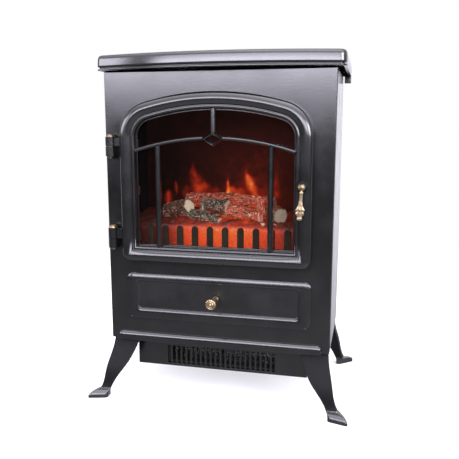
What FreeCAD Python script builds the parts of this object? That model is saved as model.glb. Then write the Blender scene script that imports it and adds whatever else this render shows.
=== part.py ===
import FreeCAD, Part
import Sketcher
import math
import os

# Free-standing electric stove: pressed-steel cabinet on four splayed legs, a
# raised arched door on pin hinges, a drop-down flap over the controls, a fan
# heater in a box under the cabinet, and a lamp-and-spinner flame effect behind
# a moulded log bed.  Millimetres, +Z up, front of the stove faces -Y.
# Every piece is drawn with Y = 0 on the face of the front panel, and is then
# moved by origin_shift so that the origin is the middle of the footprint.

os.makedirs("parts", exist_ok=True)
V = FreeCAD.Vector
doc = FreeCAD.newDocument("ElectricStove")
sheet = doc.addObject("Spreadsheet::Sheet", "Dims")


class Q:
    """A length with its value and the sheet expression that gives it."""

    def __init__(self, v, e):
        self.v = float(v)
        self.e = e

    def _op(self, o, sign, back=False):
        o = q(o)
        a, b = (o, self) if back else (self, o)
        if sign == "+":
            v = a.v + b.v
        elif sign == "-":
            v = a.v - b.v
        elif sign == "*":
            v = a.v * b.v
        else:
            v = a.v / b.v
        return Q(v, "(%s %s %s)" % (a.e, sign, b.e))

    def __add__(self, o): return self._op(o, "+")
    def __radd__(self, o): return self._op(o, "+", True)
    def __sub__(self, o): return self._op(o, "-")
    def __rsub__(self, o): return self._op(o, "-", True)
    def __mul__(self, o): return self._op(o, "*")
    def __rmul__(self, o): return self._op(o, "*", True)
    def __truediv__(self, o): return self._op(o, "/")
    def __neg__(self): return q(0) - self


def q(x):
    if isinstance(x, Q):
        return x
    x = float(x)
    return Q(x, "%.6f" % x if x >= 0 else "(0 - %.6f)" % -x)


def root(x):
    return Q(math.sqrt(x.v), "sqrt(%s)" % x.e)


TABLE = [
    # whole stove
    ("origin_shift", 92), ("half_width", 175), ("cabinet_low", 95), ("cabinet_high", 515),
    ("cabinet_depth", 188), ("sheet_gauge", 1), ("face_gauge", 1.2), ("seam_depth", 150),
    # lid
    ("lid_half", 188), ("lid_top", 540), ("lid_low", 523.5), ("lip_high", 519.5), ("lip_low", 517),
    ("lid_bow", -27), ("lid_rear", 200), ("lid_front_radius", 657),
    ("lid_corner_radius", 13), ("lid_wall", 2), ("lid_side_wall", 5), ("lid_round", 5),
    # door outline
    ("door_half", 145.5), ("door_top", 484), ("door_low", 227.5), ("arch_radius", 385),
    ("shoulder_radius", 52), ("door_low_radius", 13), ("door_back", -1), ("door_face", -19),
    ("door_crown", -24), ("crown_outer", 2.5), ("crown_inner", 17.5), ("opening_inset", 25),
    ("seat_inset", 19), ("seat_floor", -13), ("glass_gauge", 3), ("panel_window_inset", 21),
    # glazing bars
    ("bar_face", -20.5), ("side_bar_place", 85.5), ("side_bar_width", 7.2), ("mid_bar_width", 8),
    ("cross_radius", 388), ("cross_apex", 417), ("cross_width", 6), ("gem_height_place", 415),
    ("gem_half_wide", 16.7), ("gem_half_high", 11.3), ("gem_hole_wide", 11.5), ("gem_hole_high", 6),
    # door hinges
    ("hinge_x", -163), ("hinge_y", -10), ("barrel_radius", 7.8), ("hinge_pin_radius", 3.5),
    ("running_fit", 0.05), ("upper_hinge_top", 418), ("upper_hinge_split", 404), ("upper_hinge_low", 389),
    ("lower_hinge_top", 278), ("lower_hinge_split", 261.5), ("lower_hinge_low", 247), ("leaf_gauge", 5),
    # handle
    ("handle_x", 132), ("handle_z", 350), ("handle_y", -34.94), ("ball_radius", 5.4),
    ("boss_radius", 8), ("eye_radius", 3.6), ("eye_pin_radius", 1.6), ("pendant_drop", 47),
    # flap
    ("flap_half", 146.5), ("flap_low", 132), ("flap_high", 206), ("flap_face", -4.5), ("flap_back", -0.4),
    ("flap_corner", 12), ("flap_border", 20), ("flap_recess", 2.2), ("knob_z", 171), ("knob_radius", 9),
    ("knob_front", -38), ("flap_pin_radius", 1), ("flap_axis_y", -2.45), ("flap_axis_z", 134.05),
    # control bay
    ("bay_half", 130), ("bay_low", 142), ("bay_high", 198), ("bay_back", 31), ("rocker_z", 170),
    ("rocker_y", 30), ("rocker_width", 13), ("rocker_height", 22), ("rocker_tilt", 10),
    ("dial_x", 66), ("dial_radius", 15),
    # base moulding and outlet box
    ("moulding_half", 164), ("moulding_low", 93.5), ("moulding_mid", 101), ("moulding_high", 110),
    ("moulding_proud", 6), ("box_half", 140), ("box_low", 44), ("box_front", 25), ("box_rear", 124),
    ("slot_pitch", 8.25), ("slot_width", 5), ("slot_low", 48), ("slot_high", 79), ("slot_count", 22),
    # fan heater
    ("fan_radius", 21), ("fan_half", 92), ("fan_y", 88), ("fan_z", 71), ("shaft_radius", 2),
    ("heater_half", 92), ("heater_front", 34), ("heater_back", 52), ("coil_radius", 4),
    # legs
    ("toe_x", 207), ("leg_mirror", 95), ("leg_top_in", 141), ("leg_top_out", 174),
    # firebox
    ("liner_half", 150), ("liner_low", 212), ("liner_high", 484), ("liner_front", 17), ("screen_y", 108),
    ("ember_low", 249), ("ember_front", 19), ("grate_y", 7), ("grate_gauge", 3.5), ("finger_pitch", 24),
    ("finger_width", 10), ("finger_top", 282), ("grate_low", 236), ("spinner_y", 150), ("spinner_z", 268),
    ("spinner_radius", 17), ("lamp_radius", 14), ("lamp_z", 231), ("lamp_y", 62),
    # rear
    ("inlet_x", -132), ("inlet_z", 126), ("inlet_bore", 3.6),
]


class Sheet:
    pass


S = Sheet()
for i, (alias, value) in enumerate(TABLE, start=1):
    sheet.set("A%d" % i, alias)
    sheet.set("B%d" % i, "%g" % value)
    sheet.setAlias("B%d" % i, alias)
    setattr(S, alias, Q(value, "Dims.%s" % alias))
doc.recompute()

count = [0]


def name(kind):
    count[0] += 1
    return "%s%03d" % (kind, count[0])


def bind(o, prop, x):
    x = q(x)
    if "Dims." in x.e:
        o.setExpression(prop, x.e)


def place(o, x, y, z, rot=None):
    x, y, z = q(x), q(y), q(z)
    o.Placement = FreeCAD.Placement(V(x.v, y.v, z.v), rot or FreeCAD.Rotation())
    bind(o, "Placement.Base.x", x)
    bind(o, "Placement.Base.y", y)
    bind(o, "Placement.Base.z", z)


def box(x0, x1, y0, y1, z0, z1):
    o = doc.addObject("Part::Box", name("Block"))
    for prop, a, b in (("Length", x0, x1), ("Width", y0, y1), ("Height", z0, z1)):
        s = q(b) - q(a)
        assert s.v > 0, (prop, q(a).v, q(b).v)
        setattr(o, prop, s.v)
        bind(o, prop, s)
    place(o, x0, y0, z0)
    return o


TURN = {"x": FreeCAD.Rotation(V(0, 0, 1), V(1, 0, 0)), "y": FreeCAD.Rotation(V(0, 0, 1), V(0, 1, 0)),
        "z": FreeCAD.Rotation()}


def at(axis, a, c1, c2):
    return {"x": (a, c1, c2), "y": (c1, a, c2), "z": (c1, c2, a)}[axis]


def cyl(axis, r, a0, a1, c1, c2):
    o = doc.addObject("Part::Cylinder", name("Rod"))
    s = q(a1) - q(a0)
    o.Radius = q(r).v
    o.Height = s.v
    bind(o, "Radius", r)
    bind(o, "Height", s)
    place(o, *at(axis, a0, c1, c2), rot=TURN[axis])
    return o


def cone(axis, r0, r1, a0, a1, c1, c2):
    o = doc.addObject("Part::Cone", name("Taper"))
    s = q(a1) - q(a0)
    o.Radius1, o.Radius2, o.Height = q(r0).v, q(r1).v, s.v
    bind(o, "Radius1", r0)
    bind(o, "Radius2", r1)
    bind(o, "Height", s)
    place(o, *at(axis, a0, c1, c2), rot=TURN[axis])
    return o


def ball(r, x, y, z):
    o = doc.addObject("Part::Sphere", name("Ball"))
    o.Radius = q(r).v
    bind(o, "Radius", r)
    place(o, x, y, z)
    return o


def fuse(*items):
    if len(items) == 1:
        return items[0]
    o = doc.addObject("Part::MultiFuse", name("Join"))
    o.Shapes = list(items)
    return o


def cut(base, *tools):
    o = doc.addObject("Part::Cut", name("Trim"))
    o.Base = base
    o.Tool = fuse(*tools)
    return o


def group(*items):
    o = doc.addObject("Part::Compound", name("Set"))
    o.Links = list(items)
    return o


def turned(o, axis, deg, x, y, z):
    """Turn a finished solid about an axis through a point."""
    rot = FreeCAD.Rotation(axis, deg)
    p = V(q(x).v, q(y).v, q(z).v)
    o.Placement = FreeCAD.Placement(p - rot.multVec(p), rot).multiply(o.Placement)
    return o


# ---- sketches on a body's own planes -------------------------------------
def rect(x0, x1, y0, y1):
    return [(x0, y0), (x1, y0), (x1, y1), (x0, y1)]


def rrect(x0, x1, y0, y1, r):
    x0, x1, y0, y1, r = q(x0), q(x1), q(y0), q(y1), q(r)
    return [(x0 + r, y0), (x1 - r, y0, r, -1), (x1, y0 + r), (x1, y1 - r, r, -1),
            (x1 - r, y1), (x0 + r, y1, r, -1), (x0, y1 - r), (x0, y0 + r, r, -1)]


def circle(x, y, r):
    return ("circle", x, y, r)


def arched(inset, low_r=0, low=None):
    """The door's outline, moved in by inset: straight sides, round shoulders, shallow arch."""
    d = q(inset)
    w = S.door_half - d
    z0 = S.door_low + d if low is None else q(low)
    cx = S.door_half - S.shoulder_radius
    reach = S.arch_radius - S.shoulder_radius
    rise = root(reach * reach - cx * cx)
    zc = S.door_top - S.arch_radius
    zs = zc + rise
    ra = S.arch_radius - d
    rs = S.shoulder_radius - d
    tx = cx * ra / reach
    tz = zc + rise * ra / reach
    lr = q(low_r)
    if lr.v > 0:
        bottom = [(-w, z0 + lr, lr, 1), (-w + lr, z0), (w - lr, z0, lr, 1), (w, z0 + lr)]
    else:
        bottom = [(-w, z0), (w, z0)]
    return bottom + [(w, zs, rs, -1), (tx, tz, ra, -1), (-tx, tz, rs, -1), (-w, zs)]


class Piece:
    AXIS = {"XY": "XY_Plane", "XZ": "XZ_Plane", "YZ": "YZ_Plane"}

    def __init__(self, label):
        self.b = doc.addObject("PartDesign::Body", "B_" + label)
        self.label = label
        self.last = None

    def sketch(self, plane, off, loops):
        sk = self.b.newObject("Sketcher::SketchObject", name("Sketch"))
        o = [f for f in self.b.Origin.OriginFeatures if f.Role == self.AXIS[plane]][0]
        sk.AttachmentSupport = [(o, "")]
        sk.MapMode = "FlatFace"
        off = q(off)
        if plane == "XZ":
            off = -off
        sk.AttachmentOffset = FreeCAD.Placement(V(0, 0, off.v), FreeCAD.Rotation())
        bind(sk, "AttachmentOffset.Base.z", off)
        for lp in loops:
            self.loop(sk, lp)
        return sk

    def loop(self, sk, lp):
        if lp[0] == "circle":
            x, y, r = q(lp[1]), q(lp[2]), q(lp[3])
            g = sk.addGeometry(Part.Circle(V(x.v, y.v, 0), V(0, 0, 1), r.v), False)
            k = sk.addConstraint(Sketcher.Constraint("Radius", g, r.v))
            bind(sk, "Constraints[%d]" % k, r)
            self.pin(sk, g, 3, x, y)
            return
        n = len(lp)
        pts = [(q(v[0]), q(v[1])) for v in lp]
        segs = []
        for i, v in enumerate(lp):
            p, p2 = pts[i], pts[(i + 1) % n]
            a, b = V(p[0].v, p[1].v, 0), V(p2[0].v, p2[1].v, 0)
            if len(v) == 2:
                g = sk.addGeometry(Part.LineSegment(a, b), False)
                segs.append((g, 1, 2))
            else:
                r, side = q(v[2]), v[3]
                c = (b - a)
                L = c.Length
                left = V(-c.y / L, c.x / L, 0)
                hgt = math.sqrt(max(r.v ** 2 - (L / 2) ** 2, 0))
                m = (a + b) * 0.5 + left * (side * (r.v - hgt))
                g = sk.addGeometry(Part.Arc(a, m, b), False)
                k = sk.addConstraint(Sketcher.Constraint("Radius", g, r.v))
                bind(sk, "Constraints[%d]" % k, r)
                s = 1 if sk.getPoint(g, 1).distanceToPoint(a) < 1e-5 else 2
                segs.append((g, s, 3 - s))
        for i in range(n):
            g, s, e = segs[i]
            g2, s2, e2 = segs[(i + 1) % n]
            sk.addConstraint(Sketcher.Constraint("Coincident", g, e, g2, s2))
            self.pin(sk, g, s, *pts[i])

    def pin(self, sk, g, pos, x, y):
        for kind, axis, val in (("DistanceX", -2, x), ("DistanceY", -1, y)):
            if abs(val.v) < 1e-9:
                sk.addConstraint(Sketcher.Constraint("PointOnObject", g, pos, axis))
            else:
                k = sk.addConstraint(Sketcher.Constraint(kind, -1, 1, g, pos, val.v))
                bind(sk, "Constraints[%d]" % k, val)

    def pad(self, plane, lo, hi, *loops):
        lo, hi = q(lo), q(hi)
        sk = self.sketch(plane, hi if plane == "XZ" else lo, loops)
        f = self.b.newObject("PartDesign::Pad", name("Pad"))
        f.Profile = sk
        f.Length = (hi - lo).v
        bind(f, "Length", hi - lo)
        self.last = f
        return f

    def pocket(self, plane, lo, hi, *loops):
        lo, hi = q(lo), q(hi)
        doc.recompute()
        before = self.b.Shape.Volume
        sk = self.sketch(plane, lo if plane == "XZ" else hi, loops)
        f = self.b.newObject("PartDesign::Pocket", name("Pocket"))
        f.Profile = sk
        f.Length = (hi - lo).v
        bind(f, "Length", hi - lo)
        doc.recompute()
        assert self.b.Shape.Volume < before - 0.01, "pocket in %s cuts nothing" % self.label
        self.last = f
        self.lastsk = sk
        return f

    def row(self, feature, sk, axis, length, n):
        f = self.b.newObject("PartDesign::LinearPattern", name("Row"))
        f.Originals = [feature]
        f.Direction = (sk, [axis])
        f.Length = q(length).v
        bind(f, "Length", length)
        f.Occurrences = int(q(n).v)
        bind(f, "Occurrences", n)
        self.b.Tip = f
        self.last = f
        return f

    def ring(self, feature, sk, axis, n):
        f = self.b.newObject("PartDesign::PolarPattern", name("Ring"))
        f.Originals = [feature]
        f.Axis = (sk, [axis])
        f.Angle = 360
        f.Occurrences = n
        self.b.Tip = f
        self.last = f
        return f

    def spin(self, plane, off, loop, axis):
        sk = self.sketch(plane, off, [loop])
        f = self.b.newObject("PartDesign::Revolution", name("Turned"))
        f.Profile = sk
        f.ReferenceAxis = (sk, [axis])
        f.Angle = 360
        self.last = f
        return f

    def loft(self, plane, sections):
        sks = [self.sketch(plane, z, [lp]) for z, lp in sections]
        f = self.b.newObject("PartDesign::AdditiveLoft", name("Loft"))
        f.Profile = sks[0]
        f.Sections = sks[1:]
        f.Ruled = True
        self.last = f
        return f

    def round(self, r, pick):
        doc.recompute()
        sh = self.last.Shape
        names = ["Edge%d" % (i + 1) for i, e in enumerate(sh.Edges) if pick(e)]
        assert names, "no edge to round in " + self.label
        f = self.b.newObject("PartDesign::Fillet", name("Round"))
        f.Base = (self.last, names)
        f.Radius = q(r).v
        bind(f, "Radius", r)
        doc.recompute()
        assert f.isValid(), "round failed in " + self.label
        self.last = f
        return f


NODES = []


def done(o, label):
    if isinstance(o, Piece):
        o = o.b
    o.Label = label
    p = o.Placement
    o.Placement = FreeCAD.Placement(V(p.Base.x, p.Base.y - S.origin_shift.v, p.Base.z), p.Rotation)
    if abs(p.Base.y) < 1e-9:
        o.setExpression("Placement.Base.y", "0 - Dims.origin_shift")
    NODES.append(o)
    return o


# ---- cabinet ---------------------------------------------------------------
t = S.sheet_gauge
ft = S.face_gauge
low, high = S.cabinet_low, S.cabinet_high

# front panel: a face with an arched window, a bay for the controls, a slot for
# the door magnet, and a return flange all round that tucks inside the sides
p = Piece("front_panel")
p.pad("XZ", 0, ft, rrect(-S.half_width, S.half_width, low, high, 2),
      arched(S.panel_window_inset), rect(-S.bay_half, S.bay_half, S.bay_low, S.bay_high),
      rect(S.handle_x - 6.2, S.handle_x + 6.2, 358.8, 389.2))
p.pad("XZ", ft, 15, rect(-(S.half_width - 2), S.half_width - 2, low + t + 0.4, high - 1),
      rect(-(S.half_width - 3.4), S.half_width - 3.4, low + t + 1.8, high - 2.4))
done(p, "front_panel")

# side panels: a flat sheet with a return at its rear edge
for side, sg in (("left", -1), ("right", 1)):
    p = Piece("side_panel_" + side)
    xo, xi, xr = S.half_width * sg, (S.half_width - t) * sg, (S.half_width - 14) * sg
    p.pad("XY", low + t + 0.1, high - 0.2,
          [(xo, 2), (xo, S.seam_depth), (xr, S.seam_depth), (xr, S.seam_depth - t),
           (xi, S.seam_depth - t), (xi, 2)])
    done(p, "side_panel_" + side)

# back cover: a tray with rows of air slots, a hole for the cable gland and an
# opening for changing the lamps
p = Piece("back_cover")
hw, dp = S.half_width, S.cabinet_depth
p.pad("XY", low + t + 0.1, high - 0.2,
      [(-hw, S.seam_depth + 0.3), (-hw, dp), (hw, dp), (hw, S.seam_depth + 0.3),
       (hw - t, S.seam_depth + 0.3), (hw - t, dp - t), (-(hw - t), dp - t), (-(hw - t), S.seam_depth + 0.3)])
p.pocket("XZ", dp - t - 1, dp + 1, circle(S.inlet_x, S.inlet_z, 7),
         rect(-60, 60, 205, 255))
f = p.pocket("XZ", dp - t - 1, dp + 1, rrect(-110, -20, 440, 444, 1.9), rrect(20, 110, 440, 444, 1.9))
p.row(f, p.lastsk, "V_Axis", 45, 6)
doc.recompute()
f = p.pocket("XZ", dp - t - 1, dp + 1, rrect(-70, 70, 130, 134, 1.9))
p.row(f, p.lastsk, "V_Axis", 36, 5)
done(p, "back_cover")

# plate over the lamp opening
p = Piece("lamp_cover")
p.pad("XZ", dp, dp + t, rrect(-68, 68, 197, 263, 5), circle(-63.5, 230, 2.2), circle(63.5, 230, 2.2))
done(p, "lamp_cover")

# floor of the cabinet, with the air way down to the blower and a hole for each leg screw
LEGS = [(-1, 0, "front_leg_left"), (1, 0, "front_leg_right"), (-1, 1, "rear_leg_left"), (1, 1, "rear_leg_right")]


def ly(y, rear):
    return (2 * S.leg_mirror - y) if rear else q(y)


screws = [(q(sg * 148), ly(yy, rear)) for sg, rear, _ in LEGS for yy in (20, 36)]
p = Piece("base_pan")
p.pad("XY", low, low + t, rect(-(hw - 0.5), hw - 0.5, ft + 0.3, dp - t - 0.3), rect(-90, 90, 70, 106),
      *[circle(x, y, 2.3) for x, y in screws])
done(p, "base_pan")

# half-round moulding over a plain band along the bottom of the front
p = Piece("base_moulding")
m1, m2, m3, pr = S.moulding_low, S.moulding_mid, S.moulding_high, S.moulding_proud
p.pad("YZ", -S.moulding_half, S.moulding_half,
      [(q(-0.05), m1), (-(pr - 2), m1), (-(pr - 2), m2, 5.2, 1), (-(pr - 2), m3), (q(-0.05), m3)])
done(p, "base_moulding")

# lid: bowed front, thick rolled edge over a thin lip, hollow underneath
def lid_outline(d):
    d = q(d)
    w = S.lid_half - d
    cx = S.lid_half - S.lid_corner_radius
    reach = S.lid_front_radius - S.lid_corner_radius
    rise = root(reach * reach - cx * cx)
    yb = S.lid_bow + S.lid_front_radius
    rf = S.lid_front_radius - d
    tx, ty = cx * rf / reach, yb - rise * rf / reach
    r = S.lid_corner_radius - d
    return [(-tx, ty, rf, -1), (tx, ty, r, -1), (w, yb - rise), (w, S.lid_rear - d), (-w, S.lid_rear - d),
            (-w, yb - rise, r, -1)]


p = Piece("lid")
p.pad("XY", S.lip_low, S.lip_high, lid_outline(0))
p.pad("XY", S.lip_high, S.lid_low, lid_outline(3))
p.pad("XY", S.lid_low, S.lid_top, lid_outline(0))
p.round(S.lid_round, lambda e: abs(e.BoundBox.ZMin - 540) < 1e-4 and abs(e.BoundBox.ZMax - 540) < 1e-4)
p.pocket("XY", S.lip_low - 1, S.lid_top - S.lid_wall, lid_outline(S.lid_side_wall))
doc.recompute()
p.pad("XY", 505, S.lip_low, rect(176.5, S.lid_half - 0.5, 186, S.lid_rear - 0.5), rect(-S.lid_half + 0.5, -176.5, 186, S.lid_rear - 0.5))
p.pad("XY", high, S.lid_top - 1.5, rect(-168, -158, 20, 34), rect(158, 168, 20, 34), rect(-168, -158, 150, 164),
      rect(158, 168, 150, 164))
done(p, "lid")

# ---- door -------------------------------------------------------------------
p = Piece("door_frame")
p.pad("XZ", S.door_face, S.door_back, arched(0, S.door_low_radius), arched(S.opening_inset))
p.pad("XZ", S.door_crown, S.door_face, arched(S.crown_outer, S.door_low_radius - S.crown_outer),
      arched(S.crown_inner, 5))
p.round(3.5, lambda e: abs(e.BoundBox.YMin + 24) < 1e-4 and abs(e.BoundBox.YMax + 24) < 1e-4)
p.pocket("XZ", S.seat_floor, 0, arched(S.seat_inset))
doc.recompute()
# the casting is hollow behind its ridge, with a web for the strike plate
p.pocket("XZ", S.door_face + 2, 0, arched(2.2, S.door_low_radius - 2.2), arched(16.8, 0))
doc.recompute()
p.pad("XZ", S.door_face + 1.5, S.door_back, rect(S.handle_x - 5.2, S.door_half - 1, 358, 361), rect(S.handle_x - 5.2, S.door_half - 1, 387, 390),
      rect(S.handle_x - 4, S.handle_x + 4, 363, 385))
done(p, "door_frame")

p = Piece("door_grille")
gb = S.seat_floor + 2.2
p.pad("XZ", S.seat_floor + 0.2, gb, arched(S.seat_inset + 0.4), arched(S.opening_inset + 2))
cr, cz = S.cross_radius, S.cross_apex - S.cross_radius
hwid = S.door_half - S.opening_inset - 0.3


def cross(dr):
    r = cr + dr
    return r, cz + root(r * r - hwid * hwid)


r1, z1 = cross(S.cross_width / 2)
r2, z2 = cross(-S.cross_width / 2)
p.pad("XZ", S.bar_face, gb, [(hwid, z1, r1, -1), (-hwid, z1), (-hwid, z2, r2, 1), (hwid, z2)])
bw = S.side_bar_width / 2
zlow = S.door_low + S.opening_inset + 0.3
for sg in (-1, 1):
    a, b = sorted([(S.side_bar_place * sg - bw).v, (S.side_bar_place * sg + bw).v])
    p.pad("XZ", S.bar_face, gb, rect(S.side_bar_place * sg - bw, S.side_bar_place * sg + bw, zlow, q(406)))
p.pad("XZ", S.bar_face, gb, rect(-S.mid_bar_width / 2, S.mid_bar_width / 2, S.gem_height_place + 9, S.door_top - S.opening_inset - 0.3))
gz = S.gem_height_place
p.pad("XZ", S.bar_face, gb, [(S.gem_half_wide, gz), (q(0), gz + S.gem_half_high), (-S.gem_half_wide, gz), (q(0), gz - S.gem_half_high)])
p.pocket("XZ", S.bar_face - 1, gb + 1, [(S.gem_hole_wide, gz), (q(0), gz + S.gem_hole_high), (-S.gem_hole_wide, gz), (q(0), gz - S.gem_hole_high)])
done(p, "door_grille")

p = Piece("door_glass")
g0 = gb + 0.2
g1 = g0 + S.glass_gauge
p.pad("XZ", g0, g1, arched(S.seat_inset + 0.5))
done(p, "door_glass")

# glass clips: small L-shaped tabs pressed into the seat behind the glass
clips = []
for cx_, cz_ in ((-126.4, 260), (-126.4, 330), (-126.4, 400), (126.4, 260), (126.4, 330), (126.4, 400)):
    sg = 1 if cx_ > 0 else -1
    xa, xb = sorted((sg * 119.0, sg * 126.3))
    clips.append(box(xa, xb, g1 + 0.1, g1 + 2.6, cz_, cz_ + 14))
for cx_ in (-60, 46):
    clips.append(box(cx_, cx_ + 14, g1 + 0.1, g1 + 2.6, S.door_low + S.seat_inset + 0.1, S.door_low + S.seat_inset + 8))
done(group(*clips), "glass_clips")

# strike plate on the back of the right stile and the magnet behind the panel
p = Piece("strike_plate")
p.pad("XZ", S.door_back, S.door_back + 0.6, rrect(S.handle_x - 5, S.handle_x + 5, 362, 386, 2))
done(p, "strike_plate")
p = Piece("door_magnet")
p.pad("XZ", 0, 14, rect(S.handle_x - 6, S.handle_x + 6, 359, 389))
p.pad("XZ", 4, 14, rect(S.handle_x - 6, S.handle_x + 6, 355, 393))
done(p, "door_magnet")

# ---- door hinges: loose-pin knuckles ------------------------------------------
hx, hy, hr, pr_ = S.hinge_x, S.hinge_y, S.barrel_radius, S.hinge_pin_radius
HINGES = [(S.upper_hinge_low, S.upper_hinge_split, S.upper_hinge_top),
          (S.lower_hinge_low, S.lower_hinge_split, S.lower_hinge_top)]
dk, bk, pins = [], [], []
for z0, zs, zt in HINGES:
    leaf = box(hx + 4, -S.door_half - 0.05, hy - 3, hy - 3 + S.leaf_gauge, zs + 0.35, zt - 1)
    barrel = cyl("z", hr, zs + 0.35, zt, hx, hy)
    dk.append(cut(fuse(leaf, barrel), cyl("z", pr_ + S.running_fit, zs - 1, zt + 1, hx, hy)))
    foot = box(hx - 7.5, hx + 7.5, hy + 2, q(-0.05), z0, zs - 0.35)
    barrel = cyl("z", hr, z0, zs - 0.35, hx, hy)
    bk.append(cut(fuse(foot, barrel), cyl("z", pr_ + S.running_fit, z0 - 1, zs + 1, hx, hy)))
    pin = cyl("z", pr_, z0 - 0.4, zt + 0.4, hx, hy)
    cap = cut(ball(6.4, hx, hy, zt - 1.4), box(hx - 8, hx + 8, hy - 8, hy + 8, zt - 12, zt + 0.3))
    tail = cone("z", 3.4, 5.5, z0 - 3.4, z0 - 0.35, hx, hy)
    pins.append(fuse(pin, cap, tail))
done(group(*dk), "door_knuckles")
done(group(*bk), "cabinet_knuckles")
done(group(*pins), "hinge_pins")

# ---- drop handle -----------------------------------------------------------------
ax, ay, az = S.handle_x, S.handle_y, S.handle_z
boss = cone("y", S.boss_radius, S.boss_radius - 1, S.door_crown - 1.5, S.door_crown + 0, ax, az)
boss = cut(fuse(cone("y", S.boss_radius - 3.5, S.boss_radius, S.door_crown - 4.5, S.door_crown - 0.05, ax, az)),
           cyl("y", 2.1, S.door_crown - 6, S.door_crown + 1, ax, az))
done(boss, "handle_boss")
post = cyl("y", 2, ay + 1, S.door_crown - 0.05, ax, az)
neck = cyl("y", 3.4, ay + 4.2, S.door_crown - 4.55, ax, az)
stud = cut(fuse(ball(S.ball_radius, ax, ay, az), neck, post),
           box(ax - 1.9, ax + 1.9, ay - 8, ay + 4, az - 8, az + 4.2),
           cyl("x", S.eye_pin_radius + 0.02, ax - 8, ax + 8, ay, az))
done(stud, "handle_stud")
done(cyl("x", S.eye_pin_radius, ax - 4.6, ax + 4.6, ay, az), "handle_pin")
# pendant: an eye, a slim stem and a fan-shaped leaf
p = Piece("handle_pendant")
p.pad("YZ", ax - 1.5, ax + 1.5, circle(ay, az, S.eye_radius))
b0 = az - S.pendant_drop
p.pad("XZ", ay - 1.6, ay + 1.6,
      [(ax - 1.5, az - 2.9), (ax - 1.5, az - 7), (ax - 3.2, az - 8), (ax - 2.4, az - 14), (ax - 3.2, az - 22),
       (ax - 7.2, az - 32), (ax - 6.4, az - 39), (ax - 3.4, b0 + 3), (ax, b0),
       (ax + 3.4, b0 + 3), (ax + 6.4, az - 39), (ax + 7.2, az - 32), (ax + 3.2, az - 22),
       (ax + 2.4, az - 14), (ax + 3.2, az - 8), (ax + 1.5, az - 7), (ax + 1.5, az - 2.9)])
p.pocket("YZ", ax - 9, ax + 9, circle(ay, az, S.eye_pin_radius + S.running_fit))
done(p, "handle_pendant")

# ---- flap over the controls ----------------------------------------------------------
fy, fz = S.flap_axis_y, S.flap_axis_z
fb, ff = S.flap_back, S.flap_face
p = Piece("controls_flap")
p.pad("XZ", ff, fb, rrect(-S.flap_half, S.flap_half, S.flap_low, S.flap_high, S.flap_corner), circle(0, S.knob_z, 2.1))
bd = S.flap_border
p.pocket("XZ", ff - 1, ff + S.flap_recess, rrect(-S.flap_half + bd, S.flap_half - bd, S.flap_low + 16, S.flap_high - 13, 4))
p.last = p.b.Tip
doc.recompute()
p.pocket("XZ", ff + 0.4, fb + 1, rect(-140.4, -134.4, 131, 139), rect(134.4, 140.4, 131, 139))
p.pocket("YZ", -S.flap_half - 1, S.flap_half + 1, [(ff - 0.5, S.flap_low - 1), (ff - 0.5, fz), (ff, fz, 2.05, 1), (fy, S.flap_low), (fy, S.flap_low - 1)])
p.pocket("YZ", -S.flap_half - 1, S.flap_half + 1, [(fb + 0.5, S.flap_low - 1), (fb + 0.5, fz), (fb, fz, 2.05, -1), (fy, S.flap_low), (fy, S.flap_low - 1)])
p.pocket("YZ", 120, 134.41, circle(fy, fz, S.flap_pin_radius + S.running_fit))
p.pocket("YZ", -134.41, -120, circle(fy, fz, S.flap_pin_radius + S.running_fit))
done(p, "controls_flap")
lugs, fpins = [], []
for sg in (-1, 1):
    a, b = sorted((sg * 134.9, sg * 139.9))
    lug = fuse(cyl("x", 1.6, a, b, fy, fz), box(a, b, fy, q(-0.05), fz - 1.5, fz + 1.5))
    lugs.append(cut(lug, cyl("x", S.flap_pin_radius, a - 1, b + 1, fy, fz)))
    a, b = sorted((sg * 125.0, sg * 139.8))
    fpins.append(cyl("x", S.flap_pin_radius, a, b, fy, fz))
done(group(*lugs), "flap_lugs")
done(group(*fpins), "flap_pins")

# knob: turned, with a rosette behind it; drawn about its own axis
p = Piece("flap_knob")
kf, kr = S.knob_front, S.knob_radius
p.spin("XY", S.knob_z, [(q(0), fb + 1.6), (q(2), fb + 1.6), (q(2), ff - 0.05), (kr - 1, ff - 0.05), (kr - 1.5, ff - 2.2), (q(4), ff - 4), (q(3.4), ff - 12),
                        (q(5.2), kf + 12), (kr, kf + 8), (kr, kf + 4.5), (kr - 3, kf + 1), (q(3), kf), (q(0), kf)], "V_Axis")
done(p, "flap_knob")

# ---- control bay ---------------------------------------------------------------------
RX = (-88, -58, -28)
bh, bz0, bz1, by = S.bay_half, S.bay_low, S.bay_high, S.bay_back
rw, rh = S.rocker_width / 2, S.rocker_height / 2
p = Piece("control_bay")
p.pad("XZ", ft + 0.05, by + 1.6, rect(-bh - 1.6, bh + 1.6, bz0 - 1.6, bz1 + 1.6))
p.pocket("XZ", 0, by, rect(-bh, bh, bz0, bz1))
p.pocket("XZ", by - 1, by + 3, circle(S.dial_x, S.rocker_z, 4),
         *[rect(x - rw - 1.2, x + rw + 1.2, S.rocker_z - rh - 1.5, S.rocker_z + rh + 1.5) for x in RX])
done(p, "control_bay")
cases = []
for x in RX:
    o = box(x - rw - 1.1, x + rw + 1.1, by - 1.5, by + 18, S.rocker_z - rh - 1.4, S.rocker_z + rh + 1.4)
    rim = box(x - rw - 2.6, x + rw + 2.6, by - 1.5, by - 0.05, S.rocker_z - rh - 3, S.rocker_z + rh + 3)
    hole = box(x - rw - 0.3, x + rw + 0.3, by - 3, by + 9, S.rocker_z - rh - 0.3, S.rocker_z + rh + 0.3)
    pins2 = box(x - 4, x + 4, by + 17, by + 24, S.rocker_z - 1, S.rocker_z + 1)
    cases.append(fuse(cut(fuse(o, rim), hole), pins2))
done(group(*cases), "switch_cases")
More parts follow.
